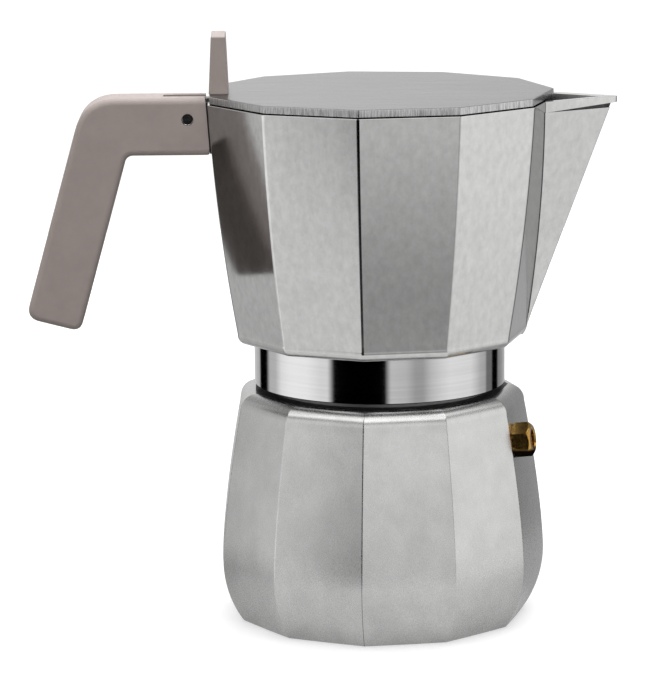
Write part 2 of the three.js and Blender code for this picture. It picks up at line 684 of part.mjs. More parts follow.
// ---------------------------------------------------------------- handle and hinge pin
function handleBlank() {
  const outline = roundedOutline([
    [-50, HANDLE_TOP, 0], [-96.2, HANDLE_TOP, 14], [-116.4, 101.8, 4.5],
    [-98.6, 97.2, 2.2], [-82.4, ARM_BOTTOM, 3], [-50, ARM_BOTTOM, 0],
  ]);
  const options = {
    depth: 2 * (HANDLE_HALF_WIDTH - HANDLE_ROUND), curveSegments: 6, bevelEnabled: true,
    bevelThickness: HANDLE_ROUND, bevelSize: HANDLE_ROUND, bevelOffset: -HANDLE_ROUND, bevelSegments: 3,
  };
  const geometry = new THREE.ExtrudeGeometry(outline, options);
  const centred = geometry.rotateX(Math.PI / 2).translate(0, HANDLE_HALF_WIDTH - HANDLE_ROUND, 0);
  return solid(centred);
}

function handle() {
  const faceAt = (z) => -collectorRadius(z) * FLAT_RATIO - FACE_GAP;
  const endCut = slab(polygon([
    [faceAt(ARM_BOTTOM) - 0.1, 150], [faceAt(ARM_BOTTOM) - 0.1, ARM_BOTTOM],
    [faceAt(HANDLE_TOP), HANDLE_TOP - 0.8], [faceAt(HANDLE_TOP) - 0.8, HANDLE_TOP + 0.1],
    [faceAt(HANDLE_TOP) - 0.8, 180], [-40, 180], [-40, 150],
  ]), -20, 20);
  const half = EAR_OUTER + GAP;
  const pocket = box(EAR_END_X - GAP, -40, -half, half, EAR_BOTTOM - GAP, EAR_TOP + GAP);
  const slot = slab(polygon([
    [-70.4, 180], [-70.4, HINGE_Z + 4.4], [-66.4, HINGE_Z - 4], [-40, HINGE_Z - 4], [-40, 180],
  ]), -SLOT_HALF_WIDTH, SLOT_HALF_WIDTH);
  const pinHole = rod(PIN_HOLE, -10, 10, HINGE_X, HINGE_Z);
  const recessFloor = HANDLE_HALF_WIDTH - PIN_RECESS - PIN_HEAD - GAP;
  const recesses = joined(
    rod(PIN_HEAD_RADIUS + GAP, recessFloor, 10, HINGE_X, HINGE_Z),
    rod(PIN_HEAD_RADIUS + GAP, -10, -recessFloor, HINGE_X, HINGE_Z),
  );
  return cut(handleBlank(), endCut, pocket, slot, pinHole, recesses);
}

function socket(y0, y1) {
  return rod(SCREW_SOCKET, y0, y1, HINGE_X, HINGE_Z, 6);
}

function hingePin() {
  const face = -HANDLE_HALF_WIDTH + PIN_RECESS;
  const head = rod(PIN_HEAD_RADIUS, face, face + PIN_HEAD, HINGE_X, HINGE_Z);
  const shank = rod(PIN_RADIUS, face + 0.5, 6.7, HINGE_X, HINGE_Z);
  const bore = rod(1, 1.7, 7, HINGE_X, HINGE_Z, 12);
  return cut(joined(head, shank), bore, socket(face - 1, face + SCREW_SOCKET_DEPTH));
}

function hingeScrew() {
  const face = HANDLE_HALF_WIDTH - PIN_RECESS;
  const head = rod(PIN_HEAD_RADIUS, face - PIN_HEAD, face, HINGE_X, HINGE_Z);
  const shank = rod(0.7, 2.2, face - 0.5, HINGE_X, HINGE_Z, 12);
  return cut(joined(head, shank), socket(face - SCREW_SOCKET_DEPTH, face + 1));
}

// ---------------------------------------------------------------- assembly
place('boiler', boiler(), cast);
valvePieces();
place('funnel', funnel(), pressed);
place('funnel_plate', perforatedDisc(FUNNEL_PLATE_RADIUS, HOLE_FIELD, BASKET_FLOOR + 2), pressed);
place('gasket', gasket(), silicone);
place('filter_plate', perforatedDisc(FILTER_PLATE_RADIUS, HOLE_FIELD, SEAT_TOP + 0.1), pressed);
place('collector', collector(), cast);
place('column', column(), cast);
place('column_cap', columnCap(), cast);
place('handle', handle(), plastic);
place('hinge_pin', hingePin(), steel);
place('hinge_screw', hingeScrew(), steel);
place('lid', lid(), cast);
place('knob', knob(), plastic);
knobScrewPlaces().forEach((y, i) => place(`knob_screw_${i + 1}`, knobScrew(y, 0), steel));

export default pot;
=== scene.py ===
"""Looks of an eleven-sided stovetop moka pot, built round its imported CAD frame.

Sizes are in millimetres until a mesh is made, and angles round the pot run from +X towards +Y.
"""

import json
import math

import bpy
import bmesh
import numpy as np
from mathutils import Matrix, Vector


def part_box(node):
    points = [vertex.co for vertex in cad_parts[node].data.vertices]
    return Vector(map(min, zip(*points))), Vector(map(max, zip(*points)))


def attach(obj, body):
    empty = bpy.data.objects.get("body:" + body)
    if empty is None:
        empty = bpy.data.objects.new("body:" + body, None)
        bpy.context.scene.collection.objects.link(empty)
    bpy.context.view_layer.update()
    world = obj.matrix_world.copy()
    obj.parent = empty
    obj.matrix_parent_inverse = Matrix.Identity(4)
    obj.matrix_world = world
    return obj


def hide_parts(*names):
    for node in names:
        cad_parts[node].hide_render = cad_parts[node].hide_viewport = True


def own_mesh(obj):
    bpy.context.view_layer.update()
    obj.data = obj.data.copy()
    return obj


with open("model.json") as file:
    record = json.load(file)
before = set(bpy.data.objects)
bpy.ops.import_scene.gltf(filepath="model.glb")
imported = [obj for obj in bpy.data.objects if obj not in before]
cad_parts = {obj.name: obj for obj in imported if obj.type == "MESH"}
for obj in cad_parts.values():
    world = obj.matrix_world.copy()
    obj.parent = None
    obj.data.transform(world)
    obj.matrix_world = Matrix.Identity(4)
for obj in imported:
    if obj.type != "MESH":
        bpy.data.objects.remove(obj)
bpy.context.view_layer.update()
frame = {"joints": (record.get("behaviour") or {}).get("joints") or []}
MM = 0.001


def box_mm(node):
    """The lowest and highest corners of a CAD node, in millimetres."""
    low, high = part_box(node)
    return np.array(low) / MM, np.array(high) / MM


# ---- driving sizes
SIDES = 11
STEP = 2 * math.pi / SIDES
FLAT = math.cos(STEP / 2)
EDGE_EASE = 1.1
FACET_CROWN = 0.12
ARC_STEPS, FLAT_STEPS = 4, 3
PER_CORNER = ARC_STEPS + 1 + FLAT_STEPS
MIDDLE = ARC_STEPS // 2

_, boiler_high = box_mm("boiler")
BELLY_RADIUS = boiler_high[0]
NECK_TOP = boiler_high[2]
BASE_RADIUS = 47.8
BELLY_Z = 21.0
SHOULDER_RADIUS = 48.2
SHOULDER_Z = 71.2
SHOULDER_FILLET = 5.5
BOILER_TOP = SHOULDER_Z + SHOULDER_FILLET
BOILER_WALL = 3.2
NECK_RADIUS = 37.0
MOUTH_RADIUS = 33.5

collector_low, collector_high = box_mm("collector")
RIM_Z = collector_high[2]
SKIRT_BOTTOM = collector_low[2]
RIM_RADIUS = 58.1
FOOT_RADIUS = 48.9
FOOT_Z = 93.4
FOOT_FILLET = 3.2
WAIST_Z = 97.0
RIM_SLOPE = 4.6
WALL = 2.8
COLLECTOR_FLOOR = 99.5
SKIRT_RADIUS = 41.5
SKIRT_BORE = 39.5
NOSE_LEAN = 0.374
SPOUT_TAN = math.tan(math.radians(34.3))
CHANNEL_BACK = 2.2 / math.sin(math.radians(34.3))
LIP_PROUD = 0.95
LIP_ROOT_PROUD = 0.3
LIP_FOOT = RIM_Z - 4.2
COLUMN_HOLE = 5.3
DOME_TOP = 98.0

_, lid_high = box_mm("lid")
LID_TOP = lid_high[2]
LID_BOTTOM = RIM_Z + 0.3
LID_RADIUS = lid_high[0]
knob_low, knob_high = box_mm("knob")
_, handle_high = box_mm("handle")
pin_low, pin_high = box_mm("hinge_pin")
HINGE_X = (pin_low[0] + pin_high[0]) / 2
HINGE_Z = (pin_low[2] + pin_high[2]) / 2

THREAD_PITCH = 3.0
THREAD_TURNS = 1.75


# ---- meshes
def tidy_mesh(mesh, sharp_degrees=38):
    """Merges doubled points, turns every face outwards and marks the sharp edges."""
    work = bmesh.new()
    work.from_mesh(mesh)
    bmesh.ops.remove_doubles(work, verts=work.verts, dist=2e-7)
    bmesh.ops.recalc_face_normals(work, faces=work.faces)
    work.to_mesh(mesh)
    work.free()
    mesh.shade_smooth()
    mesh.set_sharp_from_angle(angle=math.radians(sharp_degrees))


def placed(name, data):
    """A new object in the scene."""
    made = bpy.data.objects.new(name, data)
    bpy.context.scene.collection.objects.link(made)
    return made


def new_piece(name, mesh, body, materials, replaces=(), weighted=True):
    """A finished piece of the pot: its materials, the body it rides on and the nodes it stands for."""
    piece = placed(name, mesh)
    for material in materials:
        mesh.materials.append(material)
    if weighted:
        normals = piece.modifiers.new("normals", "WEIGHTED_NORMAL")
        normals.keep_sharp = True
    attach(piece, body)
    if replaces:
        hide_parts(*replaces)
    return piece


def grid_mesh(name, rings, around=True, along=False, caps=(), slot_of_row=None, sharp_degrees=38, shade_line=None):
    """A mesh through rings of equally many points (mm), with its perimeter and length as UVs (mm).

    A face takes its material slot from its row, or slot 2, a painted shade line, where the given test holds
    for its row and column.
    """
    rings = np.asarray(rings, dtype=float)
    rows, count, _ = rings.shape
    mesh = bpy.data.meshes.new(name)
    verts = (rings.reshape(-1, 3) * MM).tolist()
    girth = np.linalg.norm(np.diff(rings, axis=1, append=rings[:, :1]), axis=2)
    widest = rings[girth.sum(axis=1).argmax()]
    u = np.concatenate([[0], np.cumsum(np.linalg.norm(np.diff(widest, axis=0, append=widest[:1]), axis=1))])
    steps = np.linalg.norm(np.diff(rings, axis=0), axis=2).max(axis=1)
    v = np.concatenate([[0], np.cumsum(steps), [steps.sum() + 1]])
    faces, uvs, slots = [], [], []
    for i in range(rows if along else rows - 1):
        below, above = i * count, (i + 1) % rows * count
        for j in range(count if around else count - 1):
            k = (j + 1) % count
            faces.append((below + j, below + k, above + k, above + j))
            uvs += [(u[j], v[i]), (u[j + 1], v[i]), (u[j + 1], v[i + 1]), (u[j], v[i + 1])]
            slots.append(2 if shade_line and shade_line(i, j) else slot_of_row(i) if slot_of_row else 0)
    for row in caps:
        ring = range(row * count, (row + 1) * count)
        faces.append(tuple(ring) if row else tuple(reversed(ring)))
        uvs += [tuple(rings[row, p % count, :2]) for p in (ring if row else reversed(ring))]
        slots.append(slot_of_row(max(row - 1, 0)) if slot_of_row else 0)
    mesh.from_pydata(verts, [], faces)
    layer = mesh.uv_layers.new(name="UVMap")
    layer.data.foreach_set("uv", np.array(uvs, dtype=np.float32).ravel())
    mesh.polygons.foreach_set("material_index", slots)
    tidy_mesh(mesh, sharp_degrees)
    return mesh


def lathe(profile, segments=128):
    """Rings of a profile of (radius, z) turned about Z."""
    angles = np.arange(segments) * 2 * math.pi / segments
    return [[(r * math.cos(a), r * math.sin(a), z) for a in angles] for r, z in profile]


def arc(centre, radius, start, end, steps):
    """Points on an arc, from one angle to another in degrees."""
    angles = np.radians(np.linspace(start, end, steps + 1))
    return [(centre[0] + radius * math.cos(a), centre[1] + radius * math.sin(a)) for a in angles]


def eased(corners, arc_steps=ARC_STEPS, flat_steps=FLAT_STEPS):
    """Points round a closed outline whose corners (x, y, radius) are each eased by their radius."""
    spots = [np.array(c[:2], dtype=float) for c in corners]
    ends = []
    for i, (_, _, radius) in enumerate(corners):
        back = spots[i - 1] - spots[i]
        ahead = spots[(i + 1) % len(spots)] - spots[i]
        room = 0.45 * min(np.linalg.norm(back), np.linalg.norm(ahead))
        back /= np.linalg.norm(back)
        ahead /= np.linalg.norm(ahead)
        half = math.acos(max(-1.0, min(1.0, float(back @ ahead)))) / 2
        setback = min(radius / math.tan(half), room) if radius else 0.0
        ends.append((spots[i] + back * setback, spots[i] + ahead * setback))
    points = []
    for i, (start, end) in enumerate(ends):
        for k in range(arc_steps + 1):
            t = k / arc_steps
            points.append((1 - t) ** 2 * start + 2 * t * (1 - t) * spots[i] + t ** 2 * end)
        following = ends[(i + 1) % len(ends)][0]
        for k in range(1, flat_steps + 1):
            points.append(end + (following - end) * k / (flat_steps + 1))
    return np.array(points)


def polygon_ring(radius, z, roundness=0.0, ease=EDGE_EASE):
    """The pot's eleven-sided section at one height, or a circle with matching points."""
    corners = [(radius * math.cos(k * STEP), radius * math.sin(k * STEP), ease) for k in range(SIDES)]
    points = eased(corners)
    circle = points / np.linalg.norm(points, axis=1)[:, None] * radius
    flat = points * (1 - roundness) + circle * roundness
    return np.column_stack([flat, np.full(len(flat), z)])


def helix_rings(root, outwards, start_z, height=1.0, width=1.8):
    """A screw thread's ridge as a run of four-cornered sections."""
    rings = []
    steps = 200
    for i in range(steps + 1):
        turn = THREAD_TURNS * i / steps
        a = 2 * math.pi * turn - math.pi / 2
        fade = min(1.0, 6 * turn, 6 * (THREAD_TURNS - turn))
        z = start_z + THREAD_PITCH * turn
        crest = root + outwards * (height * fade - 0.15 * (1 - fade))
        foot = root - outwards * 0.3
        section = [(foot, -width / 2), (crest, -width / 6), (crest, width / 6), (foot, width / 2)]
        rings.append([(r * math.cos(a), r * math.sin(a), z + dz) for r, dz in section])
    return rings


def joined_mesh(name, meshes):
    """Several meshes as one, for a casting modelled in overlapping runs."""
    whole = bmesh.new()
    for mesh in meshes:
        whole.from_mesh(mesh)
    result = bpy.data.meshes.new(name)
    whole.to_mesh(result)
    whole.free()
    result.shade_smooth()
    result.set_sharp_from_angle(angle=math.radians(38))
    return result


def slab(name, outline, y0, y1, bevel=0.0):
    """A flat plate with an outline in XZ, from y0 to y1, with its edges eased."""
    work = bmesh.new()
    near = [work.verts.new((x * MM, y0 * MM, z * MM)) for x, z in outline]
    far = [work.verts.new((x * MM, y1 * MM, z * MM)) for x, z in outline]
    work.faces.new(near)
    work.faces.new(list(reversed(far)))
    for i in range(len(outline)):
        k = (i + 1) % len(outline)
        work.faces.new((near[k], near[i], far[i], far[k]))
    if bevel:
        work.normal_update()
        edges = [e for e in work.edges if e.calc_face_angle(0) > math.radians(30)]
        bmesh.ops.bevel(work, geom=edges, offset=bevel * MM, segments=3, profile=0.5, affect="EDGES")
    mesh = bpy.data.meshes.new(name)
    work.to_mesh(mesh)
    work.free()
    tidy_mesh(mesh)
    return mesh


def carve(mesh, tools):
    """Cuts closed meshes out of a mesh and returns the result."""
    body = placed("blank", mesh)
    tools = [placed("cutter", tool) for tool in tools]
    for tool in tools:
        cut = body.modifiers.new("cut", "BOOLEAN")
        cut.operation = "DIFFERENCE"
        cut.solver = "EXACT"
        cut.object = tool
    bpy.context.view_layer.update()
    graph = bpy.context.evaluated_depsgraph_get()
    result = bpy.data.meshes.new_from_object(body.evaluated_get(graph))
    for spent in [body, *tools]:
        bpy.data.objects.remove(spent)
    result.name = mesh.name + "_cut"
    result.shade_smooth()
    result.set_sharp_from_angle(angle=math.radians(38))
    return result


def along_direction(mesh, start, direction):
    """Moves a mesh made along Z so that it runs from a start (mm) along a direction."""
    turn = Vector((0, 0, 1)).rotation_difference(Vector(direction)).to_matrix().to_4x4()
    mesh.transform(Matrix.Translation(Vector(start) * MM) @ turn)
    return mesh


def rod_mesh(name, profile, start, direction, segments=32):
    """A turned piece of (radius, distance) along a direction from a start, both ends capped."""
    mesh = grid_mesh(name, lathe(profile, segments), caps=(0, len(profile) - 1))
    return along_direction(mesh, start, direction)


# ---- materials
def node(tree, kind, **values):
    """A new shader node with some of its settings."""
    made = tree.nodes.new(kind)
    for key, value in values.items():
        setattr(made, key, value)
    return made


def setting(made, **numbers):
    """Sets a node's inputs by name, with _ for a space, and returns the node."""
    for key, number in numbers.items():
        made.inputs[key.replace("_", " ")].default_value = number
    return made


def noise(tree, coordinates, scale, detail=3.0, roughness=0.55):
    """A noise texture whose scale is given per metre along each of the three coordinates."""
    mapping = setting(node(tree, "ShaderNodeMapping"), Scale=scale)
    tree.links.new(coordinates, mapping.inputs["Vector"])
    texture = setting(node(tree, "ShaderNodeTexNoise"), Scale=1.0, Detail=detail, Roughness=roughness)
    tree.links.new(mapping.outputs["Vector"], texture.inputs["Vector"])
    return texture.outputs["Fac"]


def spread(tree, value, low, high, start=0.3, end=0.7):
    """Maps a noise's useful middle onto a range."""
    ranged = setting(node(tree, "ShaderNodeMapRange"), From_Min=start, From_Max=end, To_Min=low, To_Max=high)
    tree.links.new(value, ranged.inputs["Value"])
    return ranged.outputs["Result"]


def tinted(tree, factor, dark, light):
    """A colour between a dark and a light one."""
    mix = setting(node(tree, "ShaderNodeMix", data_type="RGBA"), A=(*dark, 1), B=(*light, 1))
    tree.links.new(factor, mix.inputs["Factor"])
    return mix.outputs["Result"]


def total(tree, *values):
    """The sum of several values."""
    result = values[0]
    for value in values[1:]:
        add = node(tree, "ShaderNodeMath", operation="ADD")
        tree.links.new(result, add.inputs[0])
        tree.links.new(value, add.inputs[1])
        result = add.outputs[0]
    return result


def surface(name, metallic, colour_noise, dark, light, rough_noise, rough, bumps, coordinates="Object",
            specular=0.5):
    """A material from noises: each noise is a scale per metre in x, y, z, or in perimeter and height."""
    material = bpy.data.materials.new(name)
    material.use_nodes = True
    tree = material.node_tree
    shader = setting(tree.nodes["Principled BSDF"], Metallic=metallic, Specular_IOR_Level=specular)
    place = node(tree, "ShaderNodeTexCoord").outputs[coordinates]
    clouds = noise(tree, place, colour_noise, detail=8.0, roughness=0.62)
    tree.links.new(tinted(tree, spread(tree, clouds, 0, 1), dark, light), shader.inputs["Base Color"])
    grain = noise(tree, place, rough_noise, detail=4.0)
    tree.links.new(spread(tree, grain, *rough), shader.inputs["Roughness"])
    heights = [spread(tree, noise(tree, place, scale, detail=5.0), 0, height, 0, 1)
               for scale, height in bumps]
    bump = setting(node(tree, "ShaderNodeBump"), Strength=1.0, Distance=1.0)
    tree.links.new(total(tree, *heights), bump.inputs["Height"])
    tree.links.new(bump.outputs["Normal"], shader.inputs["Normal"])
    return material


SATIN = surface("cast_satin", 1.0, (420, 420, 300), (0.368, 0.368, 0.364), (0.444, 0.444, 0.440),
                (900, 900, 120), (0.085, 0.135), [((2600, 2600, 160), 3.0e-7), ((26, 26, 26), 5.0e-6)])
BOILER_SATIN = surface("boiler_satin", 1.0, (110, 110, 90), (0.372, 0.372, 0.368), (0.434, 0.434, 0.430),
                       (1500, 1500, 900), (0.25, 0.30),
                       [((2600, 2600, 1300), 1.2e-7), ((40, 40, 40), 1.1e-5)])
# Rough as-cast finish for insides and hidden faces; its base is also set darker than the outside so the
# insides look shaded, partly painted shade.
CAST = surface("cast_rough", 1.0, (60, 60, 60), (0.238, 0.238, 0.234), (0.322, 0.322, 0.319),
               (1500, 1500, 1500), (0.40, 0.52), [((1600, 1600, 1600), 5.0e-6)])
# Near-black paint used as painted shade: crease lines, the boiler's ring under the skirt, the line under the
# spout's lip and the gap at the handle's end.
PAINTED_SHADE = surface("groove_shadow", 1.0, (400, 400, 400), (0.03, 0.03, 0.03), (0.07, 0.07, 0.07),
                 (1500, 1500, 1500), (0.45, 0.6), [((1600, 1600, 1600), 5.0e-6)])
LID = surface("lid_satin", 1.0, (18, 160, 40), (0.200, 0.200, 0.200), (0.238, 0.238, 0.236),
              (60, 3200, 500), (0.26, 0.32), [((40, 3600, 500), 2.0e-7)])
EDGE = surface("lid_edge", 1.0, (3.0, 0.2, 1), (0.130, 0.130, 0.130), (0.520, 0.520, 0.520),
               (2.0, 0.1, 1), (0.16, 0.30), [((2.2, 0.05, 1), 6.0e-6)], coordinates="UV")
POLISHED = surface("turned_bright", 1.0, (8, 8, 900), (0.406, 0.406, 0.406), (0.448, 0.448, 0.448),
                   (6, 6, 5200), (0.05, 0.10), [((5, 5, 6500), 2.5e-7)])
PRESSED = surface("pressed_sheet", 1.0, (70, 70, 70), (0.462, 0.462, 0.469), (0.546, 0.546, 0.553),
                  (60, 60, 2600), (0.20, 0.34), [((50, 50, 3200), 1.5e-6), ((900, 900, 900), 2.0e-6)])
STEEL = surface("turned_steel", 1.0, (300, 300, 300), (0.294, 0.294, 0.301), (0.420, 0.420, 0.427),
                (2600, 2600, 2600), (0.24, 0.40), [((3000, 3000, 3000), 2.0e-6)])
BLACKENED = surface("blackened_steel", 1.0, (900, 900, 900), (0.012, 0.012, 0.013), (0.07, 0.066, 0.064),
                    (2600, 2600, 2600), (0.25, 0.5), [((2600, 2600, 2600), 8.0e-6)])
BRASS = surface("turned_brass", 1.0, (420, 420, 420), (0.252, 0.140, 0.032), (0.420, 0.259, 0.077),
                (1800, 1800, 1800), (0.13, 0.24), [((1400, 1400, 1400), 8.0e-7)], specular=0.0)
# Height under which the valve's brass is painted near-black, a painted shade on its lower flats.
PAINTED_SHADE_TOP = 60.1


def painted_shade_below(material, height):
    """Darkens a metal under a height and makes it non-metallic there: a painted shade on the valve's
    underside.
    """
    tree = material.node_tree
    socket = tree.nodes["Principled BSDF"].inputs["Base Color"]
    unshaded = socket.links[0].from_socket
    place = node(tree, "ShaderNodeSeparateXYZ")
    tree.links.new(node(tree, "ShaderNodeTexCoord").outputs["Object"], place.inputs[0])
    shade_mix = setting(node(tree, "ShaderNodeMix", data_type="RGBA"), A=(0.012, 0.008, 0.004, 1))
    bright = spread(tree, place.outputs["Z"], 0, 1, (height - 0.6) * MM, (height + 0.4) * MM)
    tree.links.new(bright, shade_mix.inputs["Factor"])
    tree.links.new(bright, tree.nodes["Principled BSDF"].inputs["Metallic"])
    tree.links.new(unshaded, shade_mix.inputs["B"])
    tree.links.new(shade_mix.outputs["Result"], socket)


painted_shade_below(BRASS, PAINTED_SHADE_TOP)
GRIP = surface("matt_moulding", 0.0, (160, 160, 160), (0.350, 0.300, 0.282), (0.385, 0.332, 0.312),
               (2500, 2500, 2500), (0.42, 0.56), [((2600, 2600, 2600), 9.0e-6), ((400, 400, 400), 6.0e-6)],
               specular=0.30)
SILICONE = surface("silicone", 0.0, (200, 200, 200), (0.74, 0.72, 0.68), (0.82, 0.80, 0.76),
                   (1500, 1500, 1500), (0.45, 0.62), [((1800, 1800, 1800), 6.0e-6)])
FIBRE = surface("fibre", 0.0, (900, 900, 900), (0.20, 0.07, 0.04), (0.36, 0.15, 0.09),
                (2500, 2500, 2500), (0.6, 0.85), [((3000, 3000, 3000), 2.0e-5)])


# ---- boiler
def boiler_radius(z):
    """The boiler's outer radius at a height: a round belly under a long slope."""
    if z > BELLY_Z:
        rise = (z - BELLY_Z) / (SHOULDER_Z - BELLY_Z)
        return BELLY_RADIUS - (BELLY_RADIUS - SHOULDER_RADIUS) * rise ** 1.45
    sag = BELLY_RADIUS - BASE_RADIUS
    radius = (BELLY_Z ** 2 + sag ** 2) / (2 * sag)
    return BELLY_RADIUS - radius + math.sqrt(radius ** 2 - (BELLY_Z - z) ** 2)


CREASED_CORNER = 8  # the corner nearest the front, whose crease is painted dark as shade


def boiler_shell():
    """The eleven-sided body, outside and inside, up to the foot of its neck."""
    outside = [(BASE_RADIUS - 0.35, 0.0), (BASE_RADIUS - 0.08, 0.12)]
    outside += [(boiler_radius(z), z) for z in np.linspace(0.5, BELLY_Z, 14)]
    outside += [(boiler_radius(z), z) for z in np.linspace(BELLY_Z, SHOULDER_Z, 24)[1:]]
    first_wall, shoulder = 4, 3 + len(outside)
    centre = (SHOULDER_RADIUS - SHOULDER_FILLET, SHOULDER_Z)
    outside += arc(centre, SHOULDER_FILLET, 0, 90, 10)[1:]
    rings = [polygon_ring(0.01, 0.0), polygon_ring(44.0, 0.0), polygon_ring(BASE_RADIUS - 1.2, 0.0)]
    rings += [polygon_ring(r, z, FACET_CROWN, 1.0) for r, z in outside]
    rings += [polygon_ring(NECK_RADIUS - 1, BOILER_TOP, roundness=1.0)]
    ceiling = BOILER_TOP - BOILER_WALL
    rings += [polygon_ring(MOUTH_RADIUS, BOILER_TOP - 0.2, 1.0), polygon_ring(MOUTH_RADIUS, ceiling, 1.0)]
    inner = [(SHOULDER_RADIUS - BOILER_WALL - SHOULDER_FILLET, ceiling)]
    inner += [(boiler_radius(z) - BOILER_WALL, z) for z in np.linspace(SHOULDER_Z - 2, 4.5, 20)]
    rings += [polygon_ring(r, z) for r, z in inner]
    rings += [polygon_ring(boiler_radius(3.5) - BOILER_WALL - 1.2, 3.5), polygon_ring(0.01, 3.5)]
    first_inner = 3 + len(outside)
    # The flat ring between the shoulder and the neck, under the skirt, gets slot 2: painted shade.
    flat = {first_inner - 1: 2, first_inner: 2}
    # The crease at that corner gets slot 2, a painted shade line.
    crease = CREASED_CORNER * PER_CORNER + MIDDLE - 1
    return grid_mesh("boiler_shell", rings, shade_line=lambda i, j: first_wall <= i < shoulder and j == crease,
                     slot_of_row=lambda i: flat.get(i, 1 if i >= first_inner or i < 2 else 0))


def boiler_neck():
    """The round neck with its screw thread and the mouth the funnel stands in."""
    low = BOILER_TOP - BOILER_WALL
    top = NECK_TOP
    wall = [(MOUTH_RADIUS, low), (NECK_RADIUS, low), (NECK_RADIUS, top - 0.5), (NECK_RADIUS - 0.5, top),
            (MOUTH_RADIUS + 0.4, top), (MOUTH_RADIUS, top - 0.4)]
    neck = grid_mesh("neck", lathe(wall, 160), along=True, slot_of_row=lambda i: 1 if i == 1 else 0)
    thread = grid_mesh("neck_thread", helix_rings(NECK_RADIUS, 1, BOILER_TOP + 1.8), caps=(0, 200))
    return joined_mesh("boiler_neck", [neck, thread])


# ---- safety valve
valve_joint = next(j for j in frame["joints"] if j["name"] == "valve_poppet_travel")
VALVE_AXIS = Vector(valve_joint["axis"]).normalized()
VALVE_ROOT = Vector((43.241, -21.454, 62.1))
HEX_BOTTOM = 0.3
HEX_TOP = 6.4
HEX_RADIUS = 5.75
SPOT_FACE_RADIUS = 5.35
SHANK_HOLE_RADIUS = 4.45
COIL_TOP = 3.6


def valve_place():
    """From the valve's own axes to the pot's: its hexagon has a corner at the top."""
    sideways = Vector((-VALVE_AXIS.y, VALVE_AXIS.x, 0)).normalized()
    upwards = VALVE_AXIS.cross(sideways)
    turn = Matrix((sideways, upwards, VALVE_AXIS)).transposed().to_4x4()
    return Matrix.Translation(VALVE_ROOT * MM) @ turn


def hexagon_radius(angle):
    """Distance from the axis to a flat of the hexagon, whose corners are at the top and bottom."""
    sixth = math.pi / 3
    return HEX_RADIUS * math.cos(sixth / 2) / math.cos((angle - math.pi / 2) % sixth - sixth / 2)


def valve_body():
    """Hexagon with a turned chamfer at its free end, and a bore that shows the poppet's tip."""
    around = 96
    cone = [(HEX_BOTTOM, 5.2), (HEX_BOTTOM + 0.3, HEX_RADIUS + 0.1)]
    cone += [(u, HEX_RADIUS + 0.1) for u in np.linspace(HEX_BOTTOM + 0.8, HEX_TOP - 1.2, 3)]
    cone += [(HEX_TOP - 1.15 * (1 - t), HEX_RADIUS + 0.05 - 1.35 * t ** 1.2) for t in np.linspace(0, 1, 7)]
    rings = []
    for u, limit in cone:
        ring = []
        for k in range(around):
            a = 2 * math.pi * k / around
            r = min(hexagon_radius(a), limit)
            ring.append((r * math.cos(a), r * math.sin(a), u))
        rings.append(ring)
    lip = [(3.9, HEX_TOP + 0.1), (3.5, HEX_TOP + 0.05), (3.25, HEX_TOP - 0.3), (3.2, HEX_TOP - 0.6),
           (3.2, -5.6), (1.3, -5.6), (1.3, -6.8), (4.4, -6.8), (4.4, 0.0), (4.4, 1.0)]
    rings += lathe(lip, around)
    mesh = grid_mesh("valve_hexagon", rings, along=True, sharp_degrees=25)
    mesh.transform(valve_place())
    return mesh


def valve_turned(name, profile, closed=False):
    """A turned piece on the valve's axis, from (radius, distance) points."""
    mesh = grid_mesh(name, lathe(profile, 48), along=closed,
                     caps=() if closed else (0, len(profile) - 1))
    mesh.transform(valve_place())
    return mesh


def valve_spring():
    """A coil of round wire between the poppet's head and the retaining ring."""
    rings = []
    coils, radius, wire = 4, 2.15, 0.35
    start, end = -3.65, COIL_TOP - wire
    for i in range(coils * 32 + 1):
        t = i / (coils * 32)
        a = 2 * math.pi * coils * t
        out = np.array([math.cos(a), math.sin(a), 0])
        rise = np.array([0, 0, 1])
        middle = out * radius + rise * (start + (end - start) * t)
        turns = np.arange(10) * 2 * math.pi / 10
        rings.append([middle + wire * (math.cos(b) * out + math.sin(b) * rise) for b in turns])
    mesh = grid_mesh("valve_spring_wire", rings, caps=(0, coils * 32))
    mesh.transform(valve_place())
    return mesh


# ---- collector
def collector_radius(z):
    """The collector's outer radius at a height, over the fillet at its foot."""
    if z < FOOT_Z + FOOT_FILLET:
        depth = FOOT_Z + FOOT_FILLET - z
        return FOOT_RADIUS - FOOT_FILLET + math.sqrt(max(FOOT_FILLET ** 2 - depth ** 2, 0))
    drop = (RIM_Z - max(z, WAIST_Z)) / (RIM_Z - WAIST_Z)
    return RIM_RADIUS - RIM_SLOPE * drop - (RIM_RADIUS - FOOT_RADIUS - RIM_SLOPE) * drop ** 2


def spouted_points(z, wall=0.0, channel=0.0):
    """Section of the collector with its spout: the nose, then the crease and corners anticlockwise."""
    radius = collector_radius(z) - wall
    nose = 49.35 + NOSE_LEAN * (z - WAIST_Z) - channel
    nose = max(nose, radius + 0.03)
    along = (nose - radius) * SPOUT_TAN
    along /= radius * (math.sin(STEP) - (1 - math.cos(STEP)) * SPOUT_TAN)
    crease_x = radius - along * radius * (1 - math.cos(STEP))
    crease_y = along * radius * math.sin(STEP)
    body = [(radius * math.cos(k * STEP), radius * math.sin(k * STEP), 2.3) for k in range(1, SIDES)]
    return eased([(nose, 0, 0.5), (crease_x, crease_y, 1.5), *body, (crease_x, -crease_y, 1.5)])


def outward(points):
    """Unit normals in plan of a closed anticlockwise section."""
    along = np.roll(points, -1, axis=0) - np.roll(points, 1, axis=0)
    normals = np.column_stack([along[:, 1], -along[:, 0]])
    return normals / np.linalg.norm(normals, axis=1)[:, None]


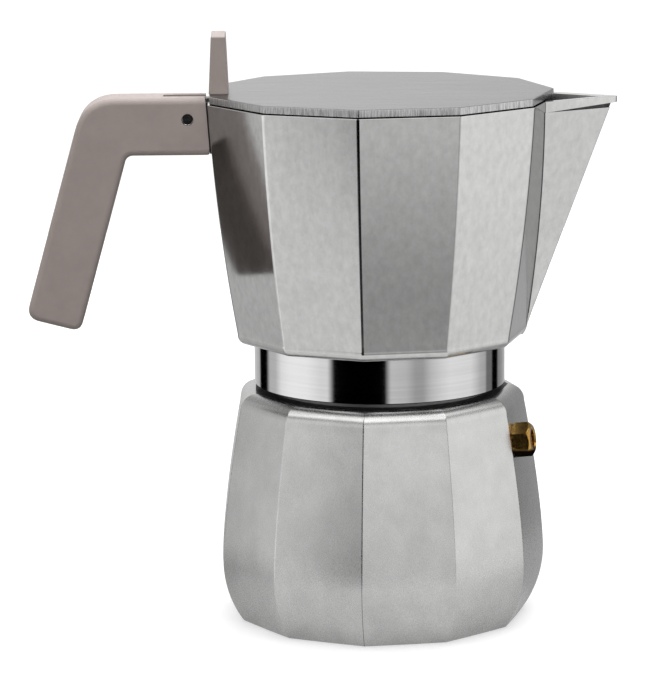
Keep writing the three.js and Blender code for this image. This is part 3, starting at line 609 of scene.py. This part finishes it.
def lip_form(top):
    """How far the spout's rim stands proud at each point, and how deep it is."""
    crease_y = abs(top[PER_CORNER + MIDDLE, 1])
    corner_y = abs(top[2 * PER_CORNER + MIDDLE, 1])
    proud, depth = [], []
    for x, y in top:
        if x < 0 or abs(y) > corner_y:
            proud.append(0.0)
            depth.append(0.5)
        elif abs(y) <= crease_y:
            near_tip = 1 - abs(y) / crease_y
            proud.append(LIP_ROOT_PROUD + (LIP_PROUD - LIP_ROOT_PROUD) * near_tip)
            depth.append(3.6 - 1.6 * near_tip)
        else:
            away = (abs(y) - crease_y) / (corner_y - crease_y)
            proud.append(LIP_ROOT_PROUD * (1 - away))
            depth.append(max(0.5, 3.6 * (1 - away)))
    return np.array(proud), np.array(depth)


def collector_cup():
    """The eleven-sided jug with its spout, from its foot over the rim to the hole in its floor."""
    def level(points, z):
        return np.column_stack([points, np.full(len(points), z)])

    plain = spouted_points(FOOT_Z)
    circle = plain / np.linalg.norm(plain, axis=1)[:, None]
    under = [(COLUMN_HOLE, DOME_TOP), (40.0, DOME_TOP), (40.0, FOOT_Z)]
    rings = [level(circle * r, z) for r, z in under]
    low = [FOOT_Z + FOOT_FILLET * (1 - math.cos(t)) for t in np.linspace(0, math.pi / 2, 9)]
    heights = low + list(np.linspace(WAIST_Z, LIP_FOOT, 40))
    rings += [level(spouted_points(z), z) for z in heights]
    below, top = spouted_points(LIP_FOOT), spouted_points(RIM_Z)
    normals = outward(top)
    proud, depth = lip_form(top)
    groove = np.clip(proud - LIP_ROOT_PROUD, 0, 1)
    first_lip = len(rings)
    lip_rows = [(1.0, 0.0, 0.0), (0.95, 0.0, 0.32), (0.0, 0.0, 0.32), (0.0, 1.0, 0.12), (-0.12, 1.0, 0.0)]
    for drop, share, inset in lip_rows:
        z = RIM_Z - depth - (drop * groove * 2.8 if drop > 0 else drop)
        plan = below + (top - below) * ((z - LIP_FOOT) / (RIM_Z - LIP_FOOT))[:, None]
        plan = plan + (top - plan) * (share * groove / (LIP_PROUD - LIP_ROOT_PROUD))[:, None]
        plan = plan + normals * (proud * share - inset * groove)[:, None]
        rings.append(np.column_stack([plan, z]))
    for drop, inset in ((0.22, 0.0), (0.06, 0.06), (0.0, 0.22)):
        rings.append(level(top + normals * (proud - inset)[:, None], RIM_Z - drop))
    inner_top = spouted_points(RIM_Z, WALL, CHANNEL_BACK)
    rings.append(level(inner_top + outward(inner_top) * 0.25, RIM_Z))
    first_inner = len(rings)
    for z in np.linspace(RIM_Z - 0.25, COLLECTOR_FLOOR + 3, 30):
        rings.append(level(spouted_points(z, WALL, CHANNEL_BACK), z))
    for t in (0.35, 0.7, 1.0):
        a = t * math.pi / 2
        z = COLLECTOR_FLOOR + 3 * (1 - math.sin(a))
        inset = WALL + 3 * (1 - math.cos(a))
        rings.append(level(spouted_points(COLLECTOR_FLOOR + 3, inset, CHANNEL_BACK), z))
    rings.append(level(circle * COLUMN_HOLE, COLLECTOR_FLOOR))
    # The spout's two creases and the two rows under its lip take slot 2: painted shade lines.
    creases = [corner * PER_CORNER + MIDDLE + side for corner in (1, SIDES + 1) for side in (-1, 0)]
    first_shade_row = 3 + len(low) + 2
    shadowed = (first_lip, first_lip + 1)
    cup = grid_mesh("collector_cup", rings, along=True,
                    shade_line=lambda i, j: first_shade_row <= i < first_lip and j in creases,
                    slot_of_row=lambda i: 2 if i in shadowed else int(i >= first_inner or i < 2))
    notch = slab("notch", [(-60, 167.2), (-50, 167.2), (-50, 180), (-60, 180)], -2.6, 2.6)
    return carve(cup, [notch])


def collector_skirt():
    """The bright turned skirt, with the gasket's seat and the strainer's dome inside it."""
    profile = [
        (SKIRT_RADIUS, 98.2), (SKIRT_RADIUS, SKIRT_BOTTOM + 0.3), (SKIRT_RADIUS - 0.3, SKIRT_BOTTOM),
        (SKIRT_BORE + 0.4, SKIRT_BOTTOM), (SKIRT_BORE, SKIRT_BOTTOM + 0.4), (SKIRT_BORE, 87.7), (36.7, 87.7),
        (36.7, 92.0), (31.4, 92.0), (31.4, 93.4), (27.0, 93.4), (24.0, 97.0),
        (COLUMN_HOLE, 97.0), (COLUMN_HOLE, 98.2),
    ]
    skirt = grid_mesh("skirt", lathe(profile, 192), along=True, slot_of_row=lambda i: 0 if i < 2 else 1)
    thread = grid_mesh("skirt_thread", helix_rings(SKIRT_BORE, -1, SKIRT_BOTTOM + 1.6), caps=(0, 200),
                       slot_of_row=lambda i: 1)
    return joined_mesh("collector_skirt", [skirt, thread])


def collector_ears():
    """Two lugs that the handle slides over, with the lid's tongue between them."""
    outline = [(-52, 160.5), (-52, 171.0)]
    outline += arc((-63.1, 167.5), 3.5, 90, 180, 8) + arc((-63.1, 164.0), 3.5, 180, 270, 8)
    return joined_mesh("collector_ears", [slab(f"ear_{i}", outline, y, y + 2.4, 0.3)
                                          for i, y in enumerate((-5.3, 2.9))])


def gap_shadow_pads():
    """Black sheets between the handle's end and the jug, one each side of the lid's tongue: a painted shadow
    for the dark gap there.
    """
    heights = np.linspace(155.8, 172.3, 6)
    outline = [(0.05 - collector_radius(z) * FLAT, z) for z in heights]
    outline += [(handle_end(z) + 0.06, z) for z in reversed(heights)]
    pads = [slab(f"pad_{i}", outline, y, y + 5.4) for i, y in enumerate((-8.6, 3.2))]
    return joined_mesh("gap_shadow_pads", pads)


def column_tube():
    """The tapered column that the coffee rises through, with its slot outlets."""
    profile = [(2.6, 96.5), (5.0, 96.5), (5.0, 99.8), (6.8, 99.8), (7.0, 100.1), (6.6, 102.0), (6.2, 105.5),
               (5.2, 128.0), (4.4, 149.7), (4.2, 150.0), (2.8, 150.0), (2.6, 149.8)]
    tube = grid_mesh("column_tube", lathe(profile, 64), along=True)
    outlet = slab("outlet", [(-1.6, 146), (1.6, 146), (1.6, 152), (-1.6, 152)], -9, 9)
    return carve(tube, [outlet])


# ---- lid, knob and handle
def lid_plate():
    """Thin eleven-sided plate with eased edges and a locating ring under it."""
    rows = [(0.01, LID_BOTTOM), (LID_RADIUS - 0.25, LID_BOTTOM), (LID_RADIUS - 0.05, LID_BOTTOM + 0.08),
            (LID_RADIUS, LID_BOTTOM + 0.25), (LID_RADIUS, LID_TOP - 0.3), (LID_RADIUS - 0.08, LID_TOP - 0.1),
            (LID_RADIUS - 0.3, LID_TOP), (LID_RADIUS - 2, LID_TOP), (0.01, LID_TOP)]
    slots = {2: 1, 3: 1, 4: 1}
    plate = grid_mesh("lid_plate", [polygon_ring(r, z, ease=0.9) for r, z in rows],
                      slot_of_row=lambda i: slots.get(i, 0))
    ring = [(48.5, 170.9), (50.2, 170.9), (50.5, 171.2), (50.5, LID_BOTTOM + 0.5), (48.5, LID_BOTTOM + 0.5)]
    rim = grid_mesh("lid_ring", lathe(ring, 128), along=True)
    return joined_mesh("lid_casting", [plate, rim])


def lid_tongue():
    """The eye the pin passes through, and the arm that joins it to the lid."""
    eye = [(HINGE_X + x, HINGE_Z + z) for x, z in arc((0, 0), 3.7, 110, 325, 20)]
    arm = [(-55, LID_BOTTOM - 4.6), (-50, LID_BOTTOM - 2.9), (-50, LID_BOTTOM + 0.5),
           (-58, LID_BOTTOM + 0.5)]
    return slab("lid_tongue", eye + arm, -2.2, 2.2, 0.25)


def knob_block():
    """Upright block that narrows towards its top."""
    low, high = knob_low, knob_high
    foot = LID_TOP - 0.05
    outline = [(low[0], foot), (high[0], foot), (high[0] - 0.8, high[2]), (low[0] + 0.9, high[2])]
    return slab("knob_block", outline, low[1], high[1], 0.45)


def handle_end(z):
    """The handle's end face runs parallel to the collector's facet."""
    return -collector_radius(z) * FLAT - 0.75


def moved_corners(corners, distances):
    """Corners of an outline whose edges have each moved inwards by their own distance."""
    count = len(corners)
    result = []
    for i, (_, _, radius) in enumerate(corners):
        lines = []
        for a, b, d in ((corners[i - 1], corners[i], distances[i - 1]),
                        (corners[i], corners[(i + 1) % count], distances[i])):
            run = np.array([b[0] - a[0], b[1] - a[1]], dtype=float)
            run /= np.linalg.norm(run)
            normal = np.array([-run[1], run[0]])
            lines.append((normal, normal @ np.array(a[:2]) + d))
        spot = np.linalg.solve(np.array([lines[0][0], lines[1][0]]), np.array([lines[0][1], lines[1][1]]))
        turn = lines[0][0][0] * lines[1][0][1] - lines[0][0][1] * lines[1][0][0]
        shift = min(distances[i - 1], distances[i])
        result.append((spot[0], spot[1], max(0.3, radius - shift if turn > 0 else radius + shift)))
    return result


def handle_bar():
    """The cranked bar with rounded edges, slotted for the lid's tongue and bored for the pin."""
    top, bottom = handle_high[2], 155.2
    corners = [
        (handle_end(top), top, 0.3), (-96.2, top, 14), (-116.4, 101.8, 4.5),
        (-98.6, 97.2, 3.4), (-82.4, bottom, 3), (handle_end(bottom), bottom, 1.0),
    ]
    ease = 2.1
    rings = []
    for a in np.radians(np.linspace(0, 90, 8)):
        inset = ease * (1 - math.cos(a))
        edges = [inset] * 5 + [0.0]
        outline = eased(moved_corners(corners, edges), arc_steps=10, flat_steps=6)
        rings.append((outline, handle_high[1] - ease + ease * math.sin(a)))
    rows = [np.column_stack([o[:, 0], np.full(len(o), -y), o[:, 1]]) for o, y in reversed(rings)]
    rows += [np.column_stack([o[:, 0], np.full(len(o), y), o[:, 1]]) for o, y in rings]
    blank = grid_mesh("handle_blank", rows, caps=(0, len(rows) - 1))
    slot = slab("slot", [(-70.4, 180), (-70.4, HINGE_Z + 4.4), (-66.4, HINGE_Z - 4), (-40, HINGE_Z - 4),
                         (-40, 180)], -2.6, 2.6)
    pocket = slab("pocket", [(-66.9, 160.2), (-40, 160.2), (-40, 171.3), (-66.9, 171.3)], -5.6, 5.6)
    half = handle_high[1]
    recess = [(1.7, 0), (1.7, 2.95), (2.3, 3.3), (2.3, 6)]
    tools = [slot, pocket]
    for side in (-1, 1):
        start = (HINGE_X, side * (half - 3.25), HINGE_Z)
        tools.append(rod_mesh(f"recess_{side + 1}", recess, start, (0, side, 0), 48))
    return carve(blank, tools)


def hinge_bolt(side, shank_radius, reach):
    """One end of the hinge: a cap head with a hexagon socket, sunk in the handle's side."""
    head_face = handle_high[1] - 1.2
    start = (HINGE_X, side * head_face, HINGE_Z)
    head = [(shank_radius, -reach), (shank_radius, -1.0), (1.6, -1.0), (1.6, -0.25), (1.4, 0.0)]
    head += [(0.95, 0.0), (0.85, -0.1)]
    rings = lathe(head, 48)
    socket = []
    for depth in (-0.1, -0.75):
        ring = []
        for k in range(48):
            a = 2 * math.pi * k / 48
            r = 0.85 * math.cos(math.pi / 6) / math.cos(a % (math.pi / 3) - math.pi / 6)
            ring.append((r * math.cos(a), r * math.sin(a), depth))
        socket.append(ring)
    rings += socket
    mesh = grid_mesh("bolt", rings, caps=(0, len(rings) - 1))
    return along_direction(mesh, start, (0, side, 0))


def hinge_bush(side):
    """The bright end of the sleeve that the bolt sits in."""
    face = handle_high[1] - 0.02
    rings = lathe([(1.62, -0.9), (1.95, -0.9), (1.95, -0.12), (1.88, 0.0), (1.72, 0.0), (1.62, -0.1)], 48)
    mesh = grid_mesh("bush", rings, along=True)
    return along_direction(mesh, (HINGE_X, side * face, HINGE_Z), (0, side, 0))


# ---- inner pieces
def funnel_shell():
    """The basket with its lip, its conical floor and its stem, in one turned skin."""
    floor, stem, outer, inner = 66.4, 5.2, 33.1, 32.1
    profile = [
        (35.8, 88.0), (35.5, 88.05), (inner + 0.4, 88.0), (inner, 87.6), (inner, floor + 1.8),
        (inner - 0.5, floor + 0.5), (inner - 1.6, floor), (stem + 1.2, floor - 3.8),
        (stem - 0.2, floor - 4.4), (stem - 1, floor - 6), (stem - 1, 9.4), (stem - 0.6, 9.0), (stem, 9.3),
        (stem, floor - 6), (stem + 0.4, floor - 5.4), (stem + 1.4, floor - 4.9), (inner - 1.2, floor - 1.1),
        (outer - 0.4, floor), (outer, floor + 1.2), (outer, 86.4), (outer + 0.4, 86.8), (35.5, 86.8),
        (35.8, 87.1), (35.8, 87.8),
    ]
    return grid_mesh("funnel_shell", lathe(profile, 128), along=True)


def sieve(name, radius, bottom, thickness, pitch, hole, field):
    """A disc with rows of small round holes on a triangular grid."""
    curve = bpy.data.curves.new(name, "CURVE")
    curve.dimensions = "2D"
    curve.fill_mode = "BOTH"
    curve.extrude = thickness / 2 * MM

    def ring(x, y, r, count):
        spline = curve.splines.new("POLY")
        spline.points.add(count - 1)
        for k in range(count):
            a = 2 * math.pi * k / count
            spline.points[k].co = ((x + r * math.cos(a)) * MM, (y + r * math.sin(a)) * MM, 0, 1)
        spline.use_cyclic_u = True

    ring(0, 0, radius, 96)
    rows = int(field / pitch * 1.2) + 1
    for row in range(-rows, rows + 1):
        y = row * pitch * math.sqrt(3) / 2
        for column in range(-rows - 1, rows + 2):
            x = (column + 0.5 * (row % 2)) * pitch
            if math.hypot(x, y) <= field:
                ring(x, y, hole, 10)
    holder = placed(name, curve)
    bpy.context.view_layer.update()
    graph = bpy.context.evaluated_depsgraph_get()
    mesh = bpy.data.meshes.new_from_object(holder.evaluated_get(graph))
    bpy.data.objects.remove(holder)
    mesh.transform(Matrix.Translation((0, 0, (bottom + thickness / 2) * MM)))
    tidy_mesh(mesh)
    return mesh


def gasket_ring():
    """A flat ring with rounded edges."""
    low, high = box_mm("gasket")
    inner, outer, ease = 29.0, high[0], 0.6
    profile = arc((inner + ease, low[2] + ease), ease, 180, 270, 4)
    profile += arc((outer - ease, low[2] + ease), ease, 270, 360, 4)
    profile += arc((outer - ease, high[2] - ease), ease, 0, 90, 4)
    profile += arc((inner + ease, high[2] - ease), ease, 90, 180, 4)
    return grid_mesh("gasket_ring", lathe(profile, 128), along=True)


def screw_from_below(y):
    """A countersunk screw through the lid into the knob."""
    profile = [(0.01, 173.6), (0.5, 173.5), (0.7, 173.0), (1.7, 173.0), (1.9, 173.1), (1.0, 174.1),
               (1.0, 181.6), (0.5, 182.0)]
    mesh = grid_mesh("screw", lathe(profile, 32), caps=(0, len(profile) - 1))
    mesh.transform(Matrix.Translation((-52.2 * MM, y * MM, 0)))
    return mesh


# ---- pieces on their bodies
seat_cut = valve_turned("spot_face", [(SPOT_FACE_RADIUS, 0), (SPOT_FACE_RADIUS, 12)])
shank_cut = valve_turned("shank_hole", [(SHANK_HOLE_RADIUS, -12), (SHANK_HOLE_RADIUS, 2)])
shell = carve(boiler_shell(), [seat_cut, shank_cut])
new_piece("boiler_shell", shell, "boiler", [BOILER_SATIN, CAST, PAINTED_SHADE], ["boiler"])
new_piece("boiler_neck", boiler_neck(), "boiler", [POLISHED, CAST])
new_piece("valve_hexagon", valve_body(), "boiler", [BRASS], ["valve_body"])
washer = [(4.5, 0.04), (4.8, 0.04), (4.8, 0.26), (4.5, 0.26)]
new_piece("valve_washer_ring", valve_turned("washer", washer, True), "boiler", [FIBRE],
          ["valve_washer"])
keeper = [(1.4, 3.9), (2.9, 3.9), (2.9, 4.7), (2.7, 4.9), (1.6, 4.9), (1.4, 4.7)]
new_piece("valve_keeper", valve_turned("keeper", keeper, True), "boiler", [BRASS],
          ["valve_retainer"])
coil = new_piece("valve_coil", valve_spring(), "boiler", [STEEL], ["valve_spring"])
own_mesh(coil)
poppet = [(2.5, -5.3), (2.7, -5.1), (2.7, -4.4), (2.5, -4.3), (1.1, -4.3), (1.1, 5.3), (0.9, 5.65),
          (0.4, 5.8)]
new_piece("valve_pin", valve_turned("poppet", poppet), "valve_poppet", [BRASS], ["valve_poppet"])

new_piece("funnel_shell", funnel_shell(), "funnel", [PRESSED], ["funnel"])
new_piece("funnel_sieve", sieve("funnel_sieve", 31.7, 68.4, 1.0, 3.0, 0.6, 28), "funnel",
          [PRESSED], ["funnel_plate"], weighted=False)
new_piece("gasket_ring", gasket_ring(), "gasket", [SILICONE], ["gasket"])
new_piece("strainer_sieve", sieve("strainer_sieve", 31.0, 92.1, 1.0, 3.0, 0.6, 26), "strainer",
          [PRESSED], ["filter_plate"], weighted=False)

new_piece("collector_cup", collector_cup(), "collector", [SATIN, CAST, PAINTED_SHADE], ["collector"])
new_piece("collector_skirt", collector_skirt(), "collector", [POLISHED, CAST])
new_piece("collector_ears", collector_ears(), "collector", [CAST])
new_piece("column_tube", column_tube(), "collector", [PRESSED], ["column"])
cap = [(0.01, 148.5), (2.3, 148.5), (2.3, 150.3), (5.2, 150.3), (5.4, 150.5), (5.1, 151.2), (4.2, 151.8),
       (2.4, 152.3), (0.01, 152.4)]
new_piece("column_cap_turned", grid_mesh("cap", lathe(cap, 64)), "collector", [PRESSED],
          ["column_cap"])
# Black sheets at the handle's end, a painted shadow for the gap.
new_piece("gap_shadow_pads", gap_shadow_pads(), "collector", [PAINTED_SHADE], weighted=False)
new_piece("handle_bar", handle_bar(), "collector", [GRIP], ["handle"])
new_piece("hinge_bolt", hinge_bolt(-1, 1.6, 14.2), "collector", [BLACKENED], ["hinge_pin"])
new_piece("hinge_screw_cap", hinge_bolt(1, 0.7, 5.4), "collector", [BLACKENED], ["hinge_screw"])

for name, side in (("near", -1), ("far", 1)):
    new_piece(f"hinge_bush_{name}", hinge_bush(side), "collector", [POLISHED])

new_piece("lid_casting", lid_plate(), "lid", [LID, EDGE], ["lid"])
new_piece("lid_tongue", lid_tongue(), "lid", [CAST])
new_piece("knob_block", knob_block(), "lid", [GRIP], ["knob"])
for number, side_y in enumerate((-5.4, 5.4), start=1):
    new_piece(f"knob_screw_cap_{number}", screw_from_below(side_y), "lid", [STEEL],
              [f"knob_screw_{number}"])


# ---- floor, light and camera
def floor_part(name, inner, outer, paint, mirrored):
    """A flat ring of the floor, or a disc when it has no hole, which polished metal sees or doesn't."""
    angles = np.linspace(0, 2 * math.pi, 96, endpoint=False)
    edge = [(outer * math.cos(a), outer * math.sin(a), 0) for a in angles]
    faces = [tuple(range(96))]
    if inner:
        edge += [(inner * math.cos(a), inner * math.sin(a), 0) for a in angles]
        faces = [(k, (k + 1) % 96, 96 + (k + 1) % 96, 96 + k) for k in range(96)]
    mesh = bpy.data.meshes.new(name)
    mesh.from_pydata(edge, [], faces)
    mesh.materials.append(paint)
    part = placed(name, mesh)
    part.visible_glossy = mirrored
    part.visible_diffuse = False


def multiplied(tree, colour):
    """A node that multiplies a colour by its own second one."""
    product = setting(node(tree, "ShaderNodeMix", data_type="RGBA", blend_type="MULTIPLY"), Factor=1.0)
    tree.links.new(colour, product.inputs["A"])
    return product


NEAR_FLOOR, FAR_FLOOR = 0.17, 0.85


def floor():
    """A plain white floor that glows a little, so that the pot's shadow on it stays faint. In polished
    metal's reflections it darkens towards the back, a painted shade.
    """
    paint = bpy.data.materials.new("floor_paint")
    paint.use_nodes = True
    tree = paint.node_tree
    shader = setting(tree.nodes["Principled BSDF"], Roughness=0.9, Specular_IOR_Level=0.1,
                     Emission_Strength=0.5)
    place = node(tree, "ShaderNodeSeparateXYZ")
    tree.links.new(node(tree, "ShaderNodeTexCoord").outputs["Object"], place.inputs[0])
    # Seen by glossy rays the floor is painted darker behind the pot: painted shade in reflections.
    path = node(tree, "ShaderNodeLightPath")
    shade = setting(node(tree, "ShaderNodeMix", data_type="RGBA"), A=(1, 1, 1, 1))
    tree.links.new(path.outputs["Is Glossy Ray"], shade.inputs["Factor"])
    tree.links.new(spread(tree, place.outputs["Y"], 1.0, 0.46, -0.05, 0.016), shade.inputs["B"])
    base = setting(multiplied(tree, shade.outputs["Result"]), B=(0.55, 0.55, 0.55, 1))
    tree.links.new(base.outputs["Result"], shader.inputs["Base Color"])
    tree.links.new(shade.outputs["Result"], shader.inputs["Emission Color"])
    floor_part("floor_near", 0, NEAR_FLOOR, paint, True)
    floor_part("floor_far", NEAR_FLOOR, FAR_FLOOR, paint, False)


def ramp(tree, value, stops):
    """A grey level from a list of (place, level), for a value that runs from 0 to 1."""
    made = node(tree, "ShaderNodeValToRGB")
    elements = made.color_ramp.elements
    while len(elements) < len(stops):
        elements.new(0.5)
    for element, (place, level) in zip(elements, sorted(stops)):
        element.position = place
        element.color = (level, level, level, 1)
    tree.links.new(value, made.inputs["Fac"])
    return made.outputs["Color"]


def turn_stops(pairs):
    """Stops given in degrees from the front towards the spout, on a ramp from -180 to 180."""
    return [((angle + 180) / 360, level) for angle, level in pairs]


def rise_stops(pairs):
    """Stops given in degrees above the horizon, on a ramp from -90 to 90."""
    return [((angle + 90) / 180, level) for angle, level in pairs]


# Grey levels seen in polished metal: degrees from the front towards the spout, at four heights.
WALL_TONES = [(-180, 0.56), (-150, 0.50), (-128, 0.46), (-114, 0.46), (-88, 0.50), (-84, 0.26),
              (-78, 0.26), (-74, 0.74), (-56, 0.77), (-44, 0.76), (-32, 0.05), (-6, 0.05), (4, 0.84),
              (34, 0.78), (44, 0.20), (52, 0.20), (58, 0.86), (104, 0.86), (122, 0.26), (150, 0.24),
              (166, 0.38), (180, 0.56)]
TABLE_TONES = [(-180, 0.40), (-147, 0.36), (-144, 0.0), (-129, 0.0), (-123, 0.46), (-113, 0.48),
               (-104, 0.80), (-94, 0.90), (-84, 0.92), (-72, 0.90), (-64, 0.82), (-57, 0.74),
               (-50.5, 0.74), (-44.5, 0.0), (3, 0.0), (8, 0.57), (22, 0.52), (31, 0.36), (38, 0.36),
               (46, 0.56), (56, 0.70), (66, 0.80), (90, 0.76), (98, 0.60), (104, 0.46), (112, 0.40),
               (114, 0.15), (123, 0.15), (125, 0.0), (135, 0.0), (139, 0.19), (180, 0.40)]
LOW_TONES = [(-180, 0.34), (-130, 0.39), (-108, 0.39), (-90, 0.46), (-76, 0.90), (-66, 0.66), (-40, 0.61),
             (-31, 0.02), (3, 0.02), (10, 0.29), (34, 0.29), (44, 0.55), (62, 0.67), (92, 0.67),
             (100, 0.52), (110, 0.28), (150, 0.28), (180, 0.34)]
FLOOR_TONES = [(-180, 0.30), (-150, 0.34), (-100, 0.40), (-60, 0.74), (-40, 0.74), (-26, 0.44), (0, 0.54),
               (14, 0.74), (60, 0.66), (90, 0.62), (120, 0.46), (150, 0.30), (180, 0.30)]
ROOF_TONES = [(-90, 0.03), (-74, 0.05), (-62, 0.5), (29, 0.5), (33, 0.16), (40, 0.16), (47, 0.95),
              (90, 0.95)]


PANEL_STRENGTH = 3.93
FILL_STRENGTH = 0.08
BACKDROP_STRENGTH = 1.1


def glow(tree, strength):
    """A white background of one strength."""
    return setting(node(tree, "ShaderNodeBackground"), Color=(1, 1, 1, 1), Strength=strength)


def either(tree, choice, no, yes):
    """One shader or the other, by a choice of 0 or 1."""
    mix = node(tree, "ShaderNodeMixShader")
    tree.links.new(choice, mix.inputs["Fac"])
    tree.links.new(no.outputs[0], mix.inputs[1])
    tree.links.new(yes.outputs[0], mix.inputs[2])
    return mix


def studio():
    """A soft pale surround. Polished metal sees panels and gaps round the pot, and a light overhead."""
    world = bpy.data.worlds.new("studio")
    bpy.context.scene.world = world
    world.use_nodes = True
    tree = world.node_tree
    tree.nodes.clear()
    direction = node(tree, "ShaderNodeTexCoord").outputs["Generated"]
    parts = node(tree, "ShaderNodeSeparateXYZ")
    tree.links.new(direction, parts.inputs[0])
    front = node(tree, "ShaderNodeMath", operation="MULTIPLY")
    front.inputs[1].default_value = -1.0
    tree.links.new(parts.outputs["Y"], front.inputs[0])
    turn = node(tree, "ShaderNodeMath", operation="ARCTAN2")
    tree.links.new(parts.outputs["X"], turn.inputs[0])
    tree.links.new(front.outputs[0], turn.inputs[1])
    rise = node(tree, "ShaderNodeMath", operation="ARCSINE")
    tree.links.new(parts.outputs["Z"], rise.inputs[0])
    turned = spread(tree, turn.outputs[0], 0, 1, -math.pi, math.pi)
    raised = spread(tree, rise.outputs[0], 0, 1, -math.pi / 2, math.pi / 2)
    tone = ramp(tree, turned, turn_stops(FLOOR_TONES))
    for low, high, tones in ((-35, -31, LOW_TONES), (-26, -14, TABLE_TONES), (-8, 7, WALL_TONES)):
        level = node(tree, "ShaderNodeMix", data_type="RGBA")
        tree.links.new(ramp(tree, raised, rise_stops([(low, 0), (high, 1)])), level.inputs["Factor"])
        tree.links.new(tone, level.inputs["A"])
        tree.links.new(ramp(tree, turned, turn_stops(tones)), level.inputs["B"])
        tone = level.outputs["Result"]
    shaded = multiplied(tree, tone)
    tree.links.new(ramp(tree, raised, rise_stops(ROOF_TONES)), shaded.inputs["B"])
    seen = glow(tree, PANEL_STRENGTH)
    tree.links.new(shaded.outputs["Result"], seen.inputs["Color"])
    path = node(tree, "ShaderNodeLightPath").outputs
    lit = either(tree, path["Is Glossy Ray"], glow(tree, FILL_STRENGTH), seen)
    shown = either(tree, path["Is Camera Ray"], lit, glow(tree, BACKDROP_STRENGTH))
    output = node(tree, "ShaderNodeOutputWorld")
    tree.links.new(shown.outputs[0], output.inputs["Surface"])


def softbox(name, place, size, watts):
    """A soft light aimed at the pot. It lights plastic and floor, while metal sees the studio."""
    light = bpy.data.lights.new(name, "AREA")
    light.shape = "RECTANGLE"
    light.size, light.size_y = size
    light.energy = watts
    lamp = placed(name, light)
    lamp.location = place
    aim = Vector((0, 0, 0.08)) - Vector(place)
    lamp.rotation_euler = aim.to_track_quat("-Z", "Y").to_euler()
    lamp.visible_glossy = False


CAMERA_PLACE = (-0.03779, -1.119248, 0.301525)
YAW, PITCH, ROLL = 0.0171766, -0.184353, -0.0075
LENS, SENSOR = 191.06, 36.0


def camera():
    """Looks at the side of the pot from a little above it, along a level slightly off its X axis."""
    ahead = Vector((math.sin(YAW) * math.cos(PITCH), math.cos(YAW) * math.cos(PITCH), math.sin(PITCH)))
    right = Vector((math.cos(YAW), -math.sin(YAW), 0))
    up = right.cross(ahead)
    across = right * math.cos(ROLL) + up * math.sin(ROLL)
    upright = up * math.cos(ROLL) - right * math.sin(ROLL)
    data = bpy.data.cameras.new("camera")
    data.sensor_fit = "HORIZONTAL"
    data.sensor_width = SENSOR
    data.lens = LENS
    data.clip_end = 100
    viewer = placed("camera", data)
    turn = Matrix((across, upright, -ahead)).transposed().to_4x4()
    viewer.matrix_world = Matrix.Translation(CAMERA_PLACE) @ turn
    bpy.context.scene.camera = viewer


floor()
studio()
softbox("overhead", (0.0, 0.1, 1.6), (2.6, 2.6), 60)
softbox("front", (-0.3, -1.9, 0.5), (1.2, 0.9), 15)
softbox("back", (0.4, 1.9, 0.7), (1.4, 1.0), 12)
camera()
bpy.context.scene.view_settings.view_transform = "Standard"
